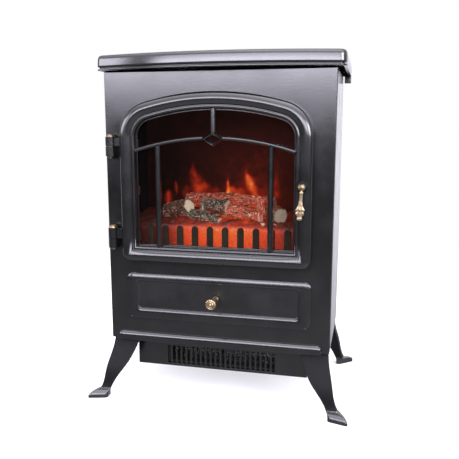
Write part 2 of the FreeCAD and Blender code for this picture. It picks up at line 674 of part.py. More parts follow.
# rockers: a shallow V face on a barrel-backed block, resting in the off position
for x, nm in zip(RX, ("rocker_flame", "rocker_low_heat", "rocker_high_heat")):
    p = Piece(nm)
    yr, zr = S.rocker_y, S.rocker_z
    p.pad("YZ", x - rw, x + rw,
          [(yr - 3.6, zr), (yr - 4.6, zr + rh - 1.4), (yr - 2.4, zr + rh - 0.9), (yr + 3, zr + rh - 2.6), (yr + 4.5, zr),
           (yr + 3, zr - rh + 2.6), (yr - 2.4, zr - rh + 0.9), (yr - 4.6, zr - rh + 1.4)])
    o = p.b
    o.Label = nm
    rot = FreeCAD.Rotation(V(1, 0, 0), -S.rocker_tilt.v)
    c = V(x, yr.v, zr.v)
    o.Placement = FreeCAD.Placement(c - rot.multVec(c) - V(0, S.origin_shift.v, 0), rot)
    NODES.append(o)

p = Piece("thermostat_knob")
dx, dr = S.dial_x, S.dial_radius
p.pad("XZ", 13, by - 2.5, circle(dx, S.rocker_z, dr))
p.round(1.5, lambda e: abs(e.BoundBox.YMin - 13) < 1e-4 and abs(e.BoundBox.YMax - 13) < 1e-4)
p.pad("XZ", 11, 14, rrect(dx - 2, dx + 2, S.rocker_z - dr + 2, S.rocker_z + dr - 2, 1))
p.pocket("XZ", 20, by, circle(dx, S.rocker_z, 3.05))
done(p, "thermostat_knob")
th = fuse(box(dx - 17, dx + 17, by + 1.65, by + 20, S.rocker_z - 15, S.rocker_z + 15),
          cyl("y", 3.9, by - 0.5, by + 2, dx, S.rocker_z), cyl("y", 3, q(21), by + 2, dx, S.rocker_z))
done(th, "thermostat_body")

# ---- outlet box with its slotted front --------------------------------------------
bx, bl, bf, br = S.box_half, S.box_low, S.box_front, S.box_rear
p = Piece("outlet_grille")
p.pad("XZ", bf, bf + ft, rrect(-bx, bx, bl, low - 0.05, 1.5))
half_run = S.slot_pitch * (S.slot_count - 1) / 2
f = p.pocket("XZ", bf - 1, bf + ft + 1, rrect(-half_run - S.slot_width / 2, -half_run + S.slot_width / 2, S.slot_low, S.slot_high, 1.2))
p.row(f, p.lastsk, "H_Axis", S.slot_pitch * (S.slot_count - 1), S.slot_count)
done(p, "outlet_grille")

p = Piece("outlet_housing")
y0 = bf + ft + 0.05
p.pad("XY", bl, low - 0.05, rect(-bx, bx, y0, br))
p.pocket("XY", bl + t, low + 1, rect(-bx + t, bx - t, y0 - 1, br - t))
f = p.pocket("XZ", br - t - 1, br + 1, rrect(-110, -106, 52, 86, 1.9))
p.row(f, p.lastsk, "H_Axis", 216, 25)
done(p, "outlet_housing")

# cross-flow blower: curved scroll on two end plates, bladed drum, motor and bearing
cy_, cz_ = S.fan_y, S.fan_z
fr, fh = S.fan_radius, S.fan_half
p = Piece("blower_scroll")
ro = fr + 1.8
p.pad("YZ", -fh - 3, fh + 3, [(cy_ - 26, cz_ - 22.8), (cy_, cz_ - 22.8, 22.8, -1), (cy_ + 22.8, cz_),
                              (cy_ + 24, cz_, 24, 1), (cy_, cz_ - 24), (cy_ - 26, cz_ - 24)])
for xa in (-fh - 3, fh + 1.8):
    p.pad("YZ", xa, q(xa) + 1.2, rect(cy_ - 26, cy_ + 24, cz_ - 24, cz_ + 22), circle(cy_, cz_, 6))
doc.recompute()
done(p, "blower_scroll")

p = Piece("blower_drum")
p.pad("YZ", -fh + 1.5, -fh + 2.7, circle(cy_, cz_, fr))
for xa in (-30.6, 29.4, fh.v - 2.7):
    p.pad("YZ", xa, xa + 1.2, circle(cy_, cz_, fr))
p.pad("YZ", -fh - 6.5, fh + 12, circle(cy_, cz_, S.shaft_radius))
drum = p.b
blades = []
for k in range(20):
    a = math.radians(k * 18)
    o = box(-fh + 2, fh - 2, q(-0.4), q(0.4), fr - 5.5, fr - 0.2)
    m = FreeCAD.Placement(V(0, cy_.v, cz_.v), FreeCAD.Rotation(V(1, 0, 0), k * 18)).multiply(
        FreeCAD.Placement(V(0, 0, 0), FreeCAD.Rotation()))
    base = V(-fh.v + 2, -0.4, fr.v - 5.5)
    lean = FreeCAD.Placement(V(0, 0, fr.v - 2.8), FreeCAD.Rotation(V(1, 0, 0), 24)).multiply(
        FreeCAD.Placement(V(0, 0, -(fr.v - 2.8)), FreeCAD.Rotation()))
    o.setExpression("Placement.Base.x", None)
    o.setExpression("Placement.Base.z", None)
    o.Placement = m.multiply(lean).multiply(FreeCAD.Placement(base, FreeCAD.Rotation()))
    blades.append(o)
done(fuse(drum, *blades), "blower_drum")

core = cut(fuse(box(fh + 4.5, fh + 20, cy_ - 21, cy_ + 21, cz_ - 22, cz_ + 20),
                box(fh + 7, fh + 17.5, cy_ - 12, cy_ + 12, cz_ - 25, cz_ - 21)),
           cyl("x", S.shaft_radius + 0.06, fh - 5, fh + 25, cy_, cz_), cyl("x", 11.2, fh + 9, fh + 15, cy_, cz_))
done(core, "blower_motor")
bear = cut(fuse(cyl("x", 5.9, -fh - 5.6, -fh - 1.9, cy_, cz_), cyl("x", 8, -fh - 5.6, -fh - 3.05, cy_, cz_)),
           cyl("x", S.shaft_radius + 0.05, -fh - 8, -fh + 2, cy_, cz_))
done(bear, "blower_bearing")

# heater: coil wires strung across a mica frame
h0, h1, hh = S.heater_front, S.heater_back, S.heater_half
fr_ = cut(box(-hh, hh, h0, h1, 47, 83), box(-hh + 5, hh - 5, h0 - 1, h1 + 1, 50, 80))
mid = [box(x, x + 1.2, h0 + 1, h1 - 1, 50, 80) for x in (-46, -0.6, 44.8)]
rows = [(55.5, 39), (65, 39), (74.5, 39), (60.2, 47), (69.8, 47)]
wire_holes = [cyl("x", S.coil_radius + 0.25, -hh + 4, hh - 4, y, z) for z, y in rows]
done(cut(fuse(fr_, *mid), *wire_holes), "heater_frame")
coils = []
for z, y in rows:
    coils.append(cut(cyl("x", S.coil_radius, -hh + 5.1, hh - 5.1, y, z), cyl("x", S.coil_radius - 1, -hh + 4, hh - 4, y, z)))
done(group(*coils), "heater_coils")
done(fuse(cyl("z", 8, q(83.05), q(89), q(20), h0 + 10), cyl("z", 5, q(89), q(92), q(20), h0 + 10),
          box(6, 34, h0 + 8, h0 + 12, 83.05, 83.85)), "thermal_cutout")

# ---- legs -----------------------------------------------------------------------------
# height, inner x, outer x, front y, back y of the section, whose back is narrower than its front
SEC = [(95, 129.5, 174, 8, 24), (88, 131.5, 174.4, 5.5, 22.5), (80, 134.3, 175.1, 1.8, 19), (72, 137.5, 176.5, -2.2, 15),
       (64, 141.2, 178.3, -6.5, 10.5), (57, 145, 180, -10.1, 6.5), (50, 149.6, 181.5, -13.2, 3), (44, 154.1, 182.7, -15.1, 0.5),
       (38, 158.6, 183.8, -16.4, -1.5), (31, 163.5, 185, -17.2, -3), (20, 169.9, 188.1, -17.9, -4.6), (13, 173, 191.5, -20, -5.5),
       (8, 175, 196, -24.5, -8)]
for sg, rear, nm in LEGS:
    p = Piece(nm)
    secs = []
    for z, xi, xo, yf, yb in SEC:
        top = q(z) if z != 95 else low - 0.05
        ti = 7 if z > 40 else 4
        xi_, xo_ = q(xi) * sg, q(xo) * sg
        secs.append((top, [(xi_, ly(yf, rear)), (xo_, ly(yf, rear)), (q(xo - 1.5) * sg, ly(yb, rear)), (q(xi + ti) * sg, ly(yb, rear))]))
    secs.append((q(0), [(q(177) * sg, ly(-26, rear)), (S.toe_x * sg, ly(-34, rear)), (S.toe_x * sg, ly(-28, rear)), (q(180) * sg, ly(-9, rear))]))
    p.loft("XY", secs)
    doc.recompute()
    xa, xb = (142, 170) if sg > 0 else (-170, -142)
    ya, yb_ = (18, 46) if not rear else (2 * S.leg_mirror - 46, 2 * S.leg_mirror - 18)
    p.pad("XY", low - 13.05, low - 0.05, rect(xa, xb, ya, yb_))
    doc.recompute()
    p.pocket("XY", low - 15, low + 1, *[circle(q(148) * sg, ly(yy, rear), 2.05) for yy in (20, 36)])
    done(p, nm)
sc = []
for x, y in screws:
    sc.append(fuse(cyl("z", 2, low - 13, low + t + 0.05, x, y), cyl("z", 4, low + t + 0.05, low + t + 2.6, x, y)))
done(group(*sc), "leg_screws")

# ---- firebox ----------------------------------------------------------------------------
lh, l0, l1, lf, sy = S.liner_half, S.liner_low, S.liner_high, S.liner_front, S.screen_y
p = Piece("firebox_liner")
p.pad("XZ", lf, sy, rect(-lh, lh, l0, l1), rect(-lh + t, lh - t, l0 + t, l1 - t))
done(p, "firebox_liner")
p = Piece("flame_screen")
p.pad("XZ", sy + 0.2, sy + 3.2, rect(-lh, lh, l0, l1))
done(p, "flame_screen")
# mirror sheet with tall flame-shaped cut-outs
p = Piece("flame_reflector")
flames = []
for x0, w, hgt in ((-112, 12, 62), (-84, 14, 96), (-54, 14, 120), (-22, 16, 104), (14, 16, 128), (48, 14, 98), (80, 14, 84), (110, 12, 58)):
    flames.append([(x0 - w * 0.5, 268), (x0 - w, 268 + hgt * 0.22), (x0 - w * 0.45, 268 + hgt * 0.6), (x0 - w * 0.3, 268 + hgt),
                   (x0 + w * 0.25, 268 + hgt * 0.72), (x0 + w * 0.8, 268 + hgt * 0.3), (x0 + w * 0.5, 268)])
p.pad("XZ", sy + 12, sy + 12.8, rect(-lh + 2, lh - 2, l0 + 34, 420), *flames)
done(p, "flame_reflector")
# spinner: a rod with rows of bright paddles
sy_, sz_ = S.spinner_y, S.spinner_z
rod = cyl("x", 2.5, -134, 142, sy_, sz_)
vanes = []
for i in range(9):
    xa = -120 + i * 27
    for k in range(3):
        o = doc.addObject("Part::Box", name("Vane"))
        o.Length, o.Width, o.Height = 22, 0.6, S.spinner_radius.v - 1
        bind(o, "Height", S.spinner_radius - 1)
        o.Placement = FreeCAD.Placement(V(xa, sy_.v, sz_.v), FreeCAD.Rotation(V(1, 0, 0), 120 * k + 35 * i)).multiply(
            FreeCAD.Placement(V(0, -0.3, 0), FreeCAD.Rotation()))
        vanes.append(o)
done(fuse(rod, *vanes), "flame_spinner")
arm_l = cut(box(-133, -131.5, sy_ - 12, sy_ + 30, sz_ - 14, sz_ + 14), cyl("x", 2.56, -140, -120, sy_, sz_))
done(arm_l, "spinner_bracket")
mot = cut(fuse(cyl("x", 20, 138, 156, sy_, sz_), box(137, 138.2, sy_ - 26, sy_ + 26, sz_ - 10, sz_ + 10)),
          cyl("x", 2.56, 130, 144, sy_, sz_))
done(mot, "spinner_motor")
# lamps lying under the ember bed, in holders on a shared rail
lamps, holders = [], []
for sg in (-1, 1):
    a, b = sorted((sg * 42, sg * 84))
    glass = fuse(cyl("x", 6, *sorted((sg * 84.0, sg * 97.0)), S.lamp_y, S.lamp_z), ball(S.lamp_radius, sg * 66, S.lamp_y, S.lamp_z),
                 cone("x", *((13.2, 6) if sg > 0 else (6, 13.2)), *sorted((sg * 70.0, sg * 86.0)), S.lamp_y, S.lamp_z))
    lamps.append(glass)
    a, b = sorted((sg * 90.0, sg * 122.0))
    sock = cut(cyl("x", 9, a, b, S.lamp_y, S.lamp_z), cyl("x", 6.3, *sorted((sg * 89.0, sg * 97.5)), S.lamp_y, S.lamp_z))
    holders.append(fuse(sock, box(*sorted((sg * 110.0, sg * 118.0)), S.lamp_y - 5, S.lamp_y + 5, l0 + t + 0.05, S.lamp_z)))
done(group(*lamps), "lamps")
done(group(*holders), "lamp_holders")

# ember bed: a thin moulded tray, high behind the grate and stepping up to the back
p = Piece("ember_bed")
e0, ey = S.ember_low, S.ember_front
wdt = lh - t - 1
p.pad("YZ", -wdt, wdt, [(ey, e0), (ey, q(274)), (q(30), q(284)), (q(60), q(288)), (q(104), q(294)), (q(104), q(290.5)),
                        (q(60), q(284.5)), (q(31), q(280.5)), (ey + 3, q(272.5)), (ey + 3, e0)])
p.pad("YZ", -wdt, wdt, rect(q(104), q(107), e0, q(294)))
doc.recompute()
done(p, "ember_bed")


def log(x0, y0, z0, x1, y1, z1, r0, r1):
    o = doc.addObject("Part::Cone", name("Log"))
    a, b = V(x0, y0, z0), V(x1, y1, z1)
    o.Radius1, o.Radius2, o.Height = r0, r1, (b - a).Length
    bind(o, "Radius1", Q(r0, "(%g / %g * Dims.finger_width)" % (r0, S.finger_width.v)))
    o.Placement = FreeCAD.Placement(a, FreeCAD.Rotation(V(0, 0, 1), b - a))
    return o


bed = box(-92, 96, 34, 98, 294.2, 299)
done(fuse(bed, log(-96, 70, 309, 88, 78, 314, 13, 14.5), log(-92, 44, 305, -8, 52, 304, 9, 11), log(4, 58, 306, 90, 42, 300.5, 9.5, 12),
          log(-60, 40, 303, -30, 84, 318, 8, 9), log(22, 50, 304, 62, 86, 318, 8, 8)), "log_set")

# grate: flat fingers with rounded tops on a rail behind the window sill
p = Piece("grate")
gy, gg, fp, fw, gl = S.grate_y, S.grate_gauge, S.finger_pitch, S.finger_width / 2, S.grate_low
p.pad("XZ", gy, gy + gg, rect(-138, 138, gl, gl + 12))
x0 = -fp * 5.5
f = p.pad("XZ", gy, gy + gg, [(x0 - fw, gl + 6), (x0 + fw, gl + 6), (x0 + fw, S.finger_top - fw, fw, -1),
                             (x0, S.finger_top, fw, -1), (x0 - fw, S.finger_top - fw)])
doc.recompute()
p.row(f, f.Profile[0], "H_Axis", fp * 11, 12)
p2 = p.b
tabs = [box(*sorted((sg * 128.0, sg * 138.0)), ft + 0.05, gy, gl, gl + 12) for sg in (-1, 1)]
done(fuse(p2, *tabs), "grate")

# ---- mains entry, wiring block, outside fasteners ---------------------------------------------
ix, iz, ib = S.inlet_x, S.inlet_z, S.inlet_bore
gl_ = cut(fuse(cyl("y", 9.5, dp + 0.05, dp + 3.5, ix, iz), cyl("y", 7.5, dp + 3.5, dp + 9, ix, iz), cyl("y", 6.9, dp - 12, dp + 0.1, ix, iz)),
          cyl("y", ib, dp - 14, dp + 12, ix, iz))
nut = cut(cyl("y", 10, dp - t - 5, dp - t - 0.1, ix, iz), cyl("y", 6.95, dp - t - 8, dp, ix, iz))
done(group(gl_, nut), "cable_inlet")
done(fuse(box(-166, -136, 120, 138, low + t + 0.05, low + 8), box(-164, -138, 123, 135, low + 8, low + 18)), "terminal_block")
cs = []
for x, z in ((-164, 130), (-164, 300), (-164, 480), (164, 130), (164, 300), (164, 480)):
    cs.append(cyl("y", 4, dp + 0.05, dp + 2.2, q(x), q(z)))
for sg in (-1, 1):
    cs.append(fuse(cyl("y", 4, dp + t + 0.05, dp + t + 2.4, q(sg * 63.5), q(230)), cyl("y", 2, dp + 0.05, dp + t + 0.1, q(sg * 63.5), q(230))))
done(group(*cs), "cover_screws")

# ---- check and write ----------------------------------------------------------------------------
doc.recompute()
bad = []
for o in doc.Objects:
    if any(w in o.State for w in ("Invalid", "Error")):
        bad.append("%s (%s) in %s: %s" % (o.Name, o.Label, [p.Label for p in o.InList], o.State))
for o in NODES:
    s = o.Shape
    if s.isNull() or not s.isValid() or not s.Solids:
        bad.append("shape of %s" % o.Label)
if bad:
    raise RuntimeError("; ".join(bad))
assert len(NODES) <= 60, len(NODES)
whole = FreeCAD.BoundBox()
for f in os.listdir("parts"):
    if f.endswith(".step"):
        os.remove(os.path.join("parts", f))
for o in NODES:
    o.Shape.exportStep("parts/%s.step" % o.Label)
    whole.add(o.Shape.BoundBox)
    print("%-22s solids %2d  volume %10.0f mm3" % (o.Label, len(o.Shape.Solids), o.Shape.Volume))
print("nodes", len(NODES), "box", [round(v, 2) for v in (whole.XMin, whole.YMin, whole.ZMin, whole.XMax, whole.YMax, whole.ZMax)])
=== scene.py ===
import bpy
import bmesh
import math
import numpy as np
from mathutils import Vector, Matrix, noise
from mathutils.geometry import tessellate_polygon


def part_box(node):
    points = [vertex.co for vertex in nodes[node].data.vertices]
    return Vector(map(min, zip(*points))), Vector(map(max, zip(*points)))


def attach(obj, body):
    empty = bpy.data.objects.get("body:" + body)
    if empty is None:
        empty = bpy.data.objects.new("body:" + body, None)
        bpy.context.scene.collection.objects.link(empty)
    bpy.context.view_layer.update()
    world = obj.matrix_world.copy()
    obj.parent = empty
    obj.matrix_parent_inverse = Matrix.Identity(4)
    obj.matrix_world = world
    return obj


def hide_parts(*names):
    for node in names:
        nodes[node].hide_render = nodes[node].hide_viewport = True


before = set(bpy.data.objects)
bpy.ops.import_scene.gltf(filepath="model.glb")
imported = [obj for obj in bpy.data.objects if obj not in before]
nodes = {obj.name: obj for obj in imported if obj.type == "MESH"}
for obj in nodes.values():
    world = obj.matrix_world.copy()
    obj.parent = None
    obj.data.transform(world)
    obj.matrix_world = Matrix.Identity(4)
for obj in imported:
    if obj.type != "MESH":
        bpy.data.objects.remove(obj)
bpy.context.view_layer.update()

# Lengths below are millimetres from the face of the front panel; W() puts them in the frame.
Y0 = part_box("front_panel")[0].y * 1000.0


def W(p):
    p = np.asarray(p, float).reshape(-1, 3)
    return np.column_stack([p[:, 0], p[:, 1] + Y0, p[:, 2]]) * 0.001


# ============================================================ materials
def new_mat(name):
    m = bpy.data.materials.new(name)
    m.use_nodes = True
    nt = m.node_tree
    for n in list(nt.nodes):
        nt.nodes.remove(n)
    out = nt.nodes.new("ShaderNodeOutputMaterial")
    bsdf = nt.nodes.new("ShaderNodeBsdfPrincipled")
    nt.links.new(bsdf.outputs[0], out.inputs[0])
    return m, nt, bsdf


def nd(nt, kind, **kw):
    n = nt.nodes.new(kind)
    for k, v in kw.items():
        if k in n.inputs.keys():
            n.inputs[k].default_value = v
        else:
            setattr(n, k, v)
    return n


def coords(nt):
    return nd(nt, "ShaderNodeTexCoord").outputs["Object"]


def noise_tex(nt, vec, scale, detail=2.0, rough=0.5, dist=0.0):
    n = nd(nt, "ShaderNodeTexNoise")
    n.inputs["Scale"].default_value = scale
    n.inputs["Detail"].default_value = detail
    n.inputs["Roughness"].default_value = rough
    n.inputs["Distortion"].default_value = dist
    nt.links.new(vec, n.inputs["Vector"])
    return n.outputs["Fac"]


def ramp(nt, fac, stops):
    r = nd(nt, "ShaderNodeValToRGB")
    e = r.color_ramp.elements
    while len(e) < len(stops):
        e.new(0.5)
    for i, (p, c) in enumerate(stops):
        e[i].position = p
        e[i].color = tuple(c) + (1.0,) if len(c) == 3 else c
    nt.links.new(fac, r.inputs["Fac"])
    return r.outputs["Color"]


def mrange(nt, v, a, b, c, d):
    n = nd(nt, "ShaderNodeMapRange")
    n.inputs["From Min"].default_value = a
    n.inputs["From Max"].default_value = b
    n.inputs["To Min"].default_value = c
    n.inputs["To Max"].default_value = d
    nt.links.new(v, n.inputs["Value"])
    return n.outputs["Result"]


def bump(nt, height, dist, strength=1.0, normal=None):
    b = nd(nt, "ShaderNodeBump")
    b.inputs["Strength"].default_value = strength
    b.inputs["Distance"].default_value = dist
    nt.links.new(height, b.inputs["Height"])
    if normal is not None:
        nt.links.new(normal, b.inputs["Normal"])
    return b.outputs["Normal"]


def mixc(nt, fac, a, b, mode="MIX"):
    m = nd(nt, "ShaderNodeMix", data_type="RGBA", blend_type=mode)
    for sock, v in ((m.inputs[0], fac), (m.inputs[6], a), (m.inputs[7], b)):
        if isinstance(v, (int, float)):
            sock.default_value = v
        elif isinstance(v, tuple):
            sock.default_value = v if len(v) == 4 else v + (1.0,)
        else:
            nt.links.new(v, sock)
    return m.outputs[2]


def math_n(nt, op, a, b=None, clamp=False):
    m = nd(nt, "ShaderNodeMath", operation=op)
    m.use_clamp = clamp
    for i, v in enumerate((a, b)):
        if v is None:
            continue
        if isinstance(v, (int, float)):
            m.inputs[i].default_value = v
        else:
            nt.links.new(v, m.inputs[i])
    return m.outputs[0]


def attr(nt, name):
    a = nd(nt, "ShaderNodeAttribute", attribute_name=name)
    return a


def powder(name, base=(0.0045, 0.0044, 0.0044), light=(0.0080, 0.0078, 0.0080), rough=(0.15, 0.23), grain=620, depth=0.00003, spec=0.74):
    """Fine-textured satin powder coat: orange-peel grain, sparse glints and a soft cloudiness."""
    m, nt, b = new_mat(name)
    v = coords(nt)
    fine = noise_tex(nt, v, grain, 3.0, 0.6)
    broad = noise_tex(nt, v, 28, 3.0, 0.55)
    speck = noise_tex(nt, v, grain * 1.9, 1.0, 0.5)
    c = mixc(nt, mrange(nt, broad, 0.3, 0.7, 0.0, 1.0), base, light)
    c = mixc(nt, mrange(nt, speck, 0.62, 0.78, 0.0, 0.5), c, tuple(x * 2.6 for x in light))
    nt.links.new(c, b.inputs["Base Color"])
    r = math_n(nt, "ADD", mrange(nt, fine, 0.3, 0.7, rough[0], rough[1]), mrange(nt, broad, 0.3, 0.7, -0.03, 0.03))
    nt.links.new(r, b.inputs["Roughness"])
    n1 = bump(nt, noise_tex(nt, v, grain * 0.8, 2.0, 0.5), depth * 1.6, 0.8)
    nt.links.new(bump(nt, fine, depth, 0.9, n1), b.inputs["Normal"])
    b.inputs["Specular IOR Level"].default_value = spec
    b.inputs["IOR"].default_value = 1.6
    return m


def metal(name, base, dark, rough=(0.22, 0.4), grain=900, metallic=1.0, depth=0.00003, patina=0.45):
    """Metal with a patchy patina and fine scratches."""
    m, nt, b = new_mat(name)
    v = coords(nt)
    p = noise_tex(nt, v, 260, 4.0, 0.65)
    f = noise_tex(nt, v, grain, 3.0, 0.6)
    c = mixc(nt, mrange(nt, p, patina, patina + 0.28, 0.0, 1.0), dark, base)
    nt.links.new(c, b.inputs["Base Color"])
    nt.links.new(mrange(nt, p, 0.3, 0.7, rough[1], rough[0]), b.inputs["Roughness"])
    nt.links.new(bump(nt, f, depth, 0.8), b.inputs["Normal"])
    b.inputs["Metallic"].default_value = metallic
    return m


def plastic(name, base, light, rough=(0.35, 0.5), grain=2200, depth=0.00003):
    m, nt, b = new_mat(name)
    v = coords(nt)
    f = noise_tex(nt, v, grain, 2.0, 0.5)
    g = noise_tex(nt, v, 45, 3.0, 0.5)
    nt.links.new(mixc(nt, g, base, light), b.inputs["Base Color"])
    nt.links.new(mrange(nt, f, 0.3, 0.7, rough[0], rough[1]), b.inputs["Roughness"])
    nt.links.new(bump(nt, f, depth, 0.7), b.inputs["Normal"])
    return m


MAT = {}
MAT["coat"] = powder("powder_black")
MAT["cast"] = powder("cast_black", (0.0045, 0.0044, 0.0044), (0.0080, 0.0078, 0.0080), (0.15, 0.22), 700, 0.00002)
MAT["leg"] = powder("leg_black", (0.008, 0.008, 0.0085), (0.012, 0.012, 0.0125), (0.42, 0.55), 700, 0.00008, 0.06)
MAT["leg_foot"] = powder("leg_black_foot", (0.008, 0.008, 0.0085), (0.012, 0.012, 0.0125), (0.22, 0.32), 700, 0.00004, 0.85)
MAT["lid"] = powder("lid_black", (0.0045, 0.0044, 0.0044), (0.0080, 0.0078, 0.0080), (0.15, 0.22), 700, 0.00002, 0.90)
MAT["flap_panel"] = powder("flap_panel_black", (0.0045, 0.0044, 0.0044), (0.0080, 0.0078, 0.0080), (0.34, 0.44), 620, 0.00003, 0.42)
MAT["grate"] = powder("grate_black", (0.020, 0.016, 0.010), (0.044, 0.034, 0.020), (0.5, 0.7), 900, 0.00012, 0.12)
MAT["inner"] = powder("inner_black", (0.003, 0.0025, 0.002), (0.007, 0.006, 0.005), (0.6, 0.8), 900, 0.00005, 0.1)
MAT["brass"] = metal("antique_brass", (0.64, 0.51, 0.33), (0.20, 0.14, 0.08), (0.30, 0.46), 1400, 1.0, 0.00004, 0.34)
MAT["brass_cap"] = metal("hinge_brass", (0.62, 0.46, 0.28), (0.20, 0.14, 0.09), (0.25, 0.4), 1200)
MAT["steel"] = metal("steel_plain", (0.56, 0.56, 0.57), (0.36, 0.36, 0.37), (0.28, 0.42), 1600, 1.0, 0.00001, 0.3)
MAT["alu"] = metal("aluminium_plain", (0.78, 0.78, 0.79), (0.6, 0.6, 0.62), (0.2, 0.34), 1600, 1.0, 0.00001, 0.3)
MAT["screw"] = metal("zinc_screw", (0.10, 0.10, 0.105), (0.04, 0.04, 0.045), (0.3, 0.45), 1600, 1.0, 0.00001, 0.3)
MAT["bplastic"] = plastic("black_plastic", (0.018, 0.018, 0.018), (0.028, 0.028, 0.028))
MAT["rocker"] = plastic("rocker_plastic", (0.012, 0.012, 0.012), (0.02, 0.02, 0.02), (0.12, 0.2), 2600, 0.00001)
MAT["mica"] = plastic("mica_board", (0.012, 0.011, 0.009), (0.024, 0.021, 0.017), (0.55, 0.7), 700, 0.00006)
MAT["rubber"] = plastic("rubber_black", (0.018, 0.018, 0.018), (0.024, 0.024, 0.024), (0.7, 0.85))


def glow_mat(name, cold, hot_stops, attr_name, strength, rough=0.5, cell=500.0, relief=0.0003):
    """A painted surface that is lit from inside where its 'glow' attribute says, broken up by noise."""
    m, nt, b = new_mat(name)
    v = coords(nt)
    a = attr(nt, attr_name).outputs["Fac"]
    n = noise_tex(nt, v, cell, 4.0, 0.62, 0.4)
    g = math_n(nt, "MULTIPLY", a, mrange(nt, n, 0.25, 0.75, 0.72, 1.22))
    hot = ramp(nt, math_n(nt, "MINIMUM", g, 1.0), hot_stops)
    nt.links.new(mixc(nt, mrange(nt, n, 0.3, 0.7, 0.0, 1.0), cold[0], cold[1]), b.inputs["Base Color"])
    nt.links.new(hot, b.inputs["Emission Color"])
    b.inputs["Emission Strength"].default_value = strength
    nt.links.new(mrange(nt, n, 0.3, 0.7, rough, rough + 0.15), b.inputs["Roughness"])
    if relief > 0:
        nt.links.new(bump(nt, n, relief, 0.5), b.inputs["Normal"])
    else:
        b.inputs["Specular IOR Level"].default_value = 0.04
    return m


MAT["screen"] = glow_mat("flame_screen_lit", ((0.003, 0.0012, 0.001), (0.005, 0.0016, 0.0012)),
                         [(0.0, (0.0, 0.0, 0.0)), (0.08, (0.006, 0.002, 0.001)), (0.20, (0.045, 0.005, 0.002)), (0.40, (0.24, 0.014, 0.004)),
                          (0.66, (0.80, 0.060, 0.012)), (0.86, (1.0, 0.22, 0.035)), (1.0, (1.0, 0.62, 0.16))], "glow", 1.0, 0.35, 90.0, 0.0)
MAT["ember"] = glow_mat("ember_lit", ((0.012, 0.008, 0.006), (0.06, 0.024, 0.014)),
                        [(0.0, (0.0, 0.0, 0.0)), (0.2, (0.09, 0.007, 0.003)), (0.45, (0.46, 0.030, 0.006)), (0.7, (0.92, 0.085, 0.012)),
                         (0.88, (1.0, 0.16, 0.022)), (1.0, (1.0, 0.36, 0.08))], "glow", 1.15, 0.4, 260.0)


def log_mat():
    """Painted moulded log: bark with pale flecks, pale cut ends, red light through the cracks."""
    m, nt, b = new_mat("log_painted")
    v = coords(nt)
    tone = attr(nt, "tone").outputs["Fac"]
    glow = attr(nt, "glow").outputs["Fac"]
    uv = attr(nt, "bark").outputs["Vector"]
    n1 = noise_tex(nt, v, 420, 5.0, 0.65, 0.3)
    n2 = noise_tex(nt, uv, 9.0, 5.0, 0.6, 0.9)
    n3 = noise_tex(nt, uv, 21.0, 4.0, 0.6, 1.4)
    bark = mixc(nt, mrange(nt, n1, 0.32, 0.68, 0.0, 1.0), (0.010, 0.008, 0.005), (0.052, 0.036, 0.021))
    fleck = mrange(nt, n3, 0.565, 0.60, 0.0, 1.0)
    bark = mixc(nt, fleck, bark, (0.90, 0.76, 0.50))
    pale = mixc(nt, mrange(nt, n1, 0.35, 0.65, 0.0, 1.0), (1.0, 0.74, 0.44), (1.0, 0.94, 0.70))
    c = mixc(nt, tone, bark, pale)
    nt.links.new(c, b.inputs["Base Color"])
    crack = mrange(nt, n2, 0.53, 0.62, 0.0, 1.0)
    edge = mrange(nt, math_n(nt, "ABSOLUTE", math_n(nt, "SUBTRACT", n2, 0.505)), 0.0, 0.035, 1.0, 0.0)
    heat = math_n(nt, "MULTIPLY", glow, math_n(nt, "ADD", math_n(nt, "MULTIPLY", crack, 0.40), math_n(nt, "MULTIPLY", edge, 0.72)))
    hot = ramp(nt, math_n(nt, "MINIMUM", heat, 1.0),
               [(0.0, (0, 0, 0)), (0.18, (0.10, 0.008, 0.003)), (0.45, (0.50, 0.030, 0.005)), (0.72, (1.0, 0.13, 0.015)), (1.0, (1.0, 0.46, 0.08))])
    nt.links.new(hot, b.inputs["Emission Color"])
    b.inputs["Emission Strength"].default_value = 1.9
    b.inputs["Roughness"].default_value = 0.55
    nt.links.new(bump(nt, n2, 0.0009, 0.7, bump(nt, n1, 0.0004, 0.6)), b.inputs["Normal"])
    return m


MAT["log"] = log_mat()


def glass_mat(name, tint, rough, alpha_dirt=0.0):
    m, nt, b = new_mat(name)
    v = coords(nt)
    smear = noise_tex(nt, v, 22, 4.0, 0.6, 0.5)
    nt.links.new(mixc(nt, smear, tint, tuple(min(1.0, x * 1.04) for x in tint)), b.inputs["Base Color"])
    nt.links.new(mrange(nt, smear, 0.3, 0.7, rough, rough + 0.03), b.inputs["Roughness"])
    b.inputs["Transmission Weight"].default_value = 1.0
    b.inputs["IOR"].default_value = 1.33
    return m


gm, gnt, gb = new_mat("door_glass_smoked")
gsm = noise_tex(gnt, coords(gnt), 22, 4.0, 0.6, 0.5)
gnt.links.new(mixc(gnt, gsm, (0.002, 0.0018, 0.0018), (0.004, 0.0035, 0.0035)), gb.inputs["Base Color"])
gnt.links.new(mrange(gnt, gsm, 0.3, 0.7, 0.02, 0.05), gb.inputs["Roughness"])
gb.inputs["Specular IOR Level"].default_value = 0.25
gb.inputs["Alpha"].default_value = 0.2
MAT["glass"] = gm
MAT["lampglass"] = glass_mat("lamp_glass", (1.0, 0.86, 0.62), 0.18)


def coil_mat():
    m, nt, b = new_mat("heater_wire")
    v = coords(nt)
    n = noise_tex(nt, v, 300, 3.0)
    nt.links.new(mixc(nt, n, (0.035, 0.030, 0.028), (0.075, 0.065, 0.055)), b.inputs["Base Color"])
    b.inputs["Metallic"].default_value = 1.0
    nt.links.new(mrange(nt, n, 0.3, 0.7, 0.35, 0.5), b.inputs["Roughness"])
    return m


MAT["coil"] = coil_mat()

# ============================================================ mesh tools


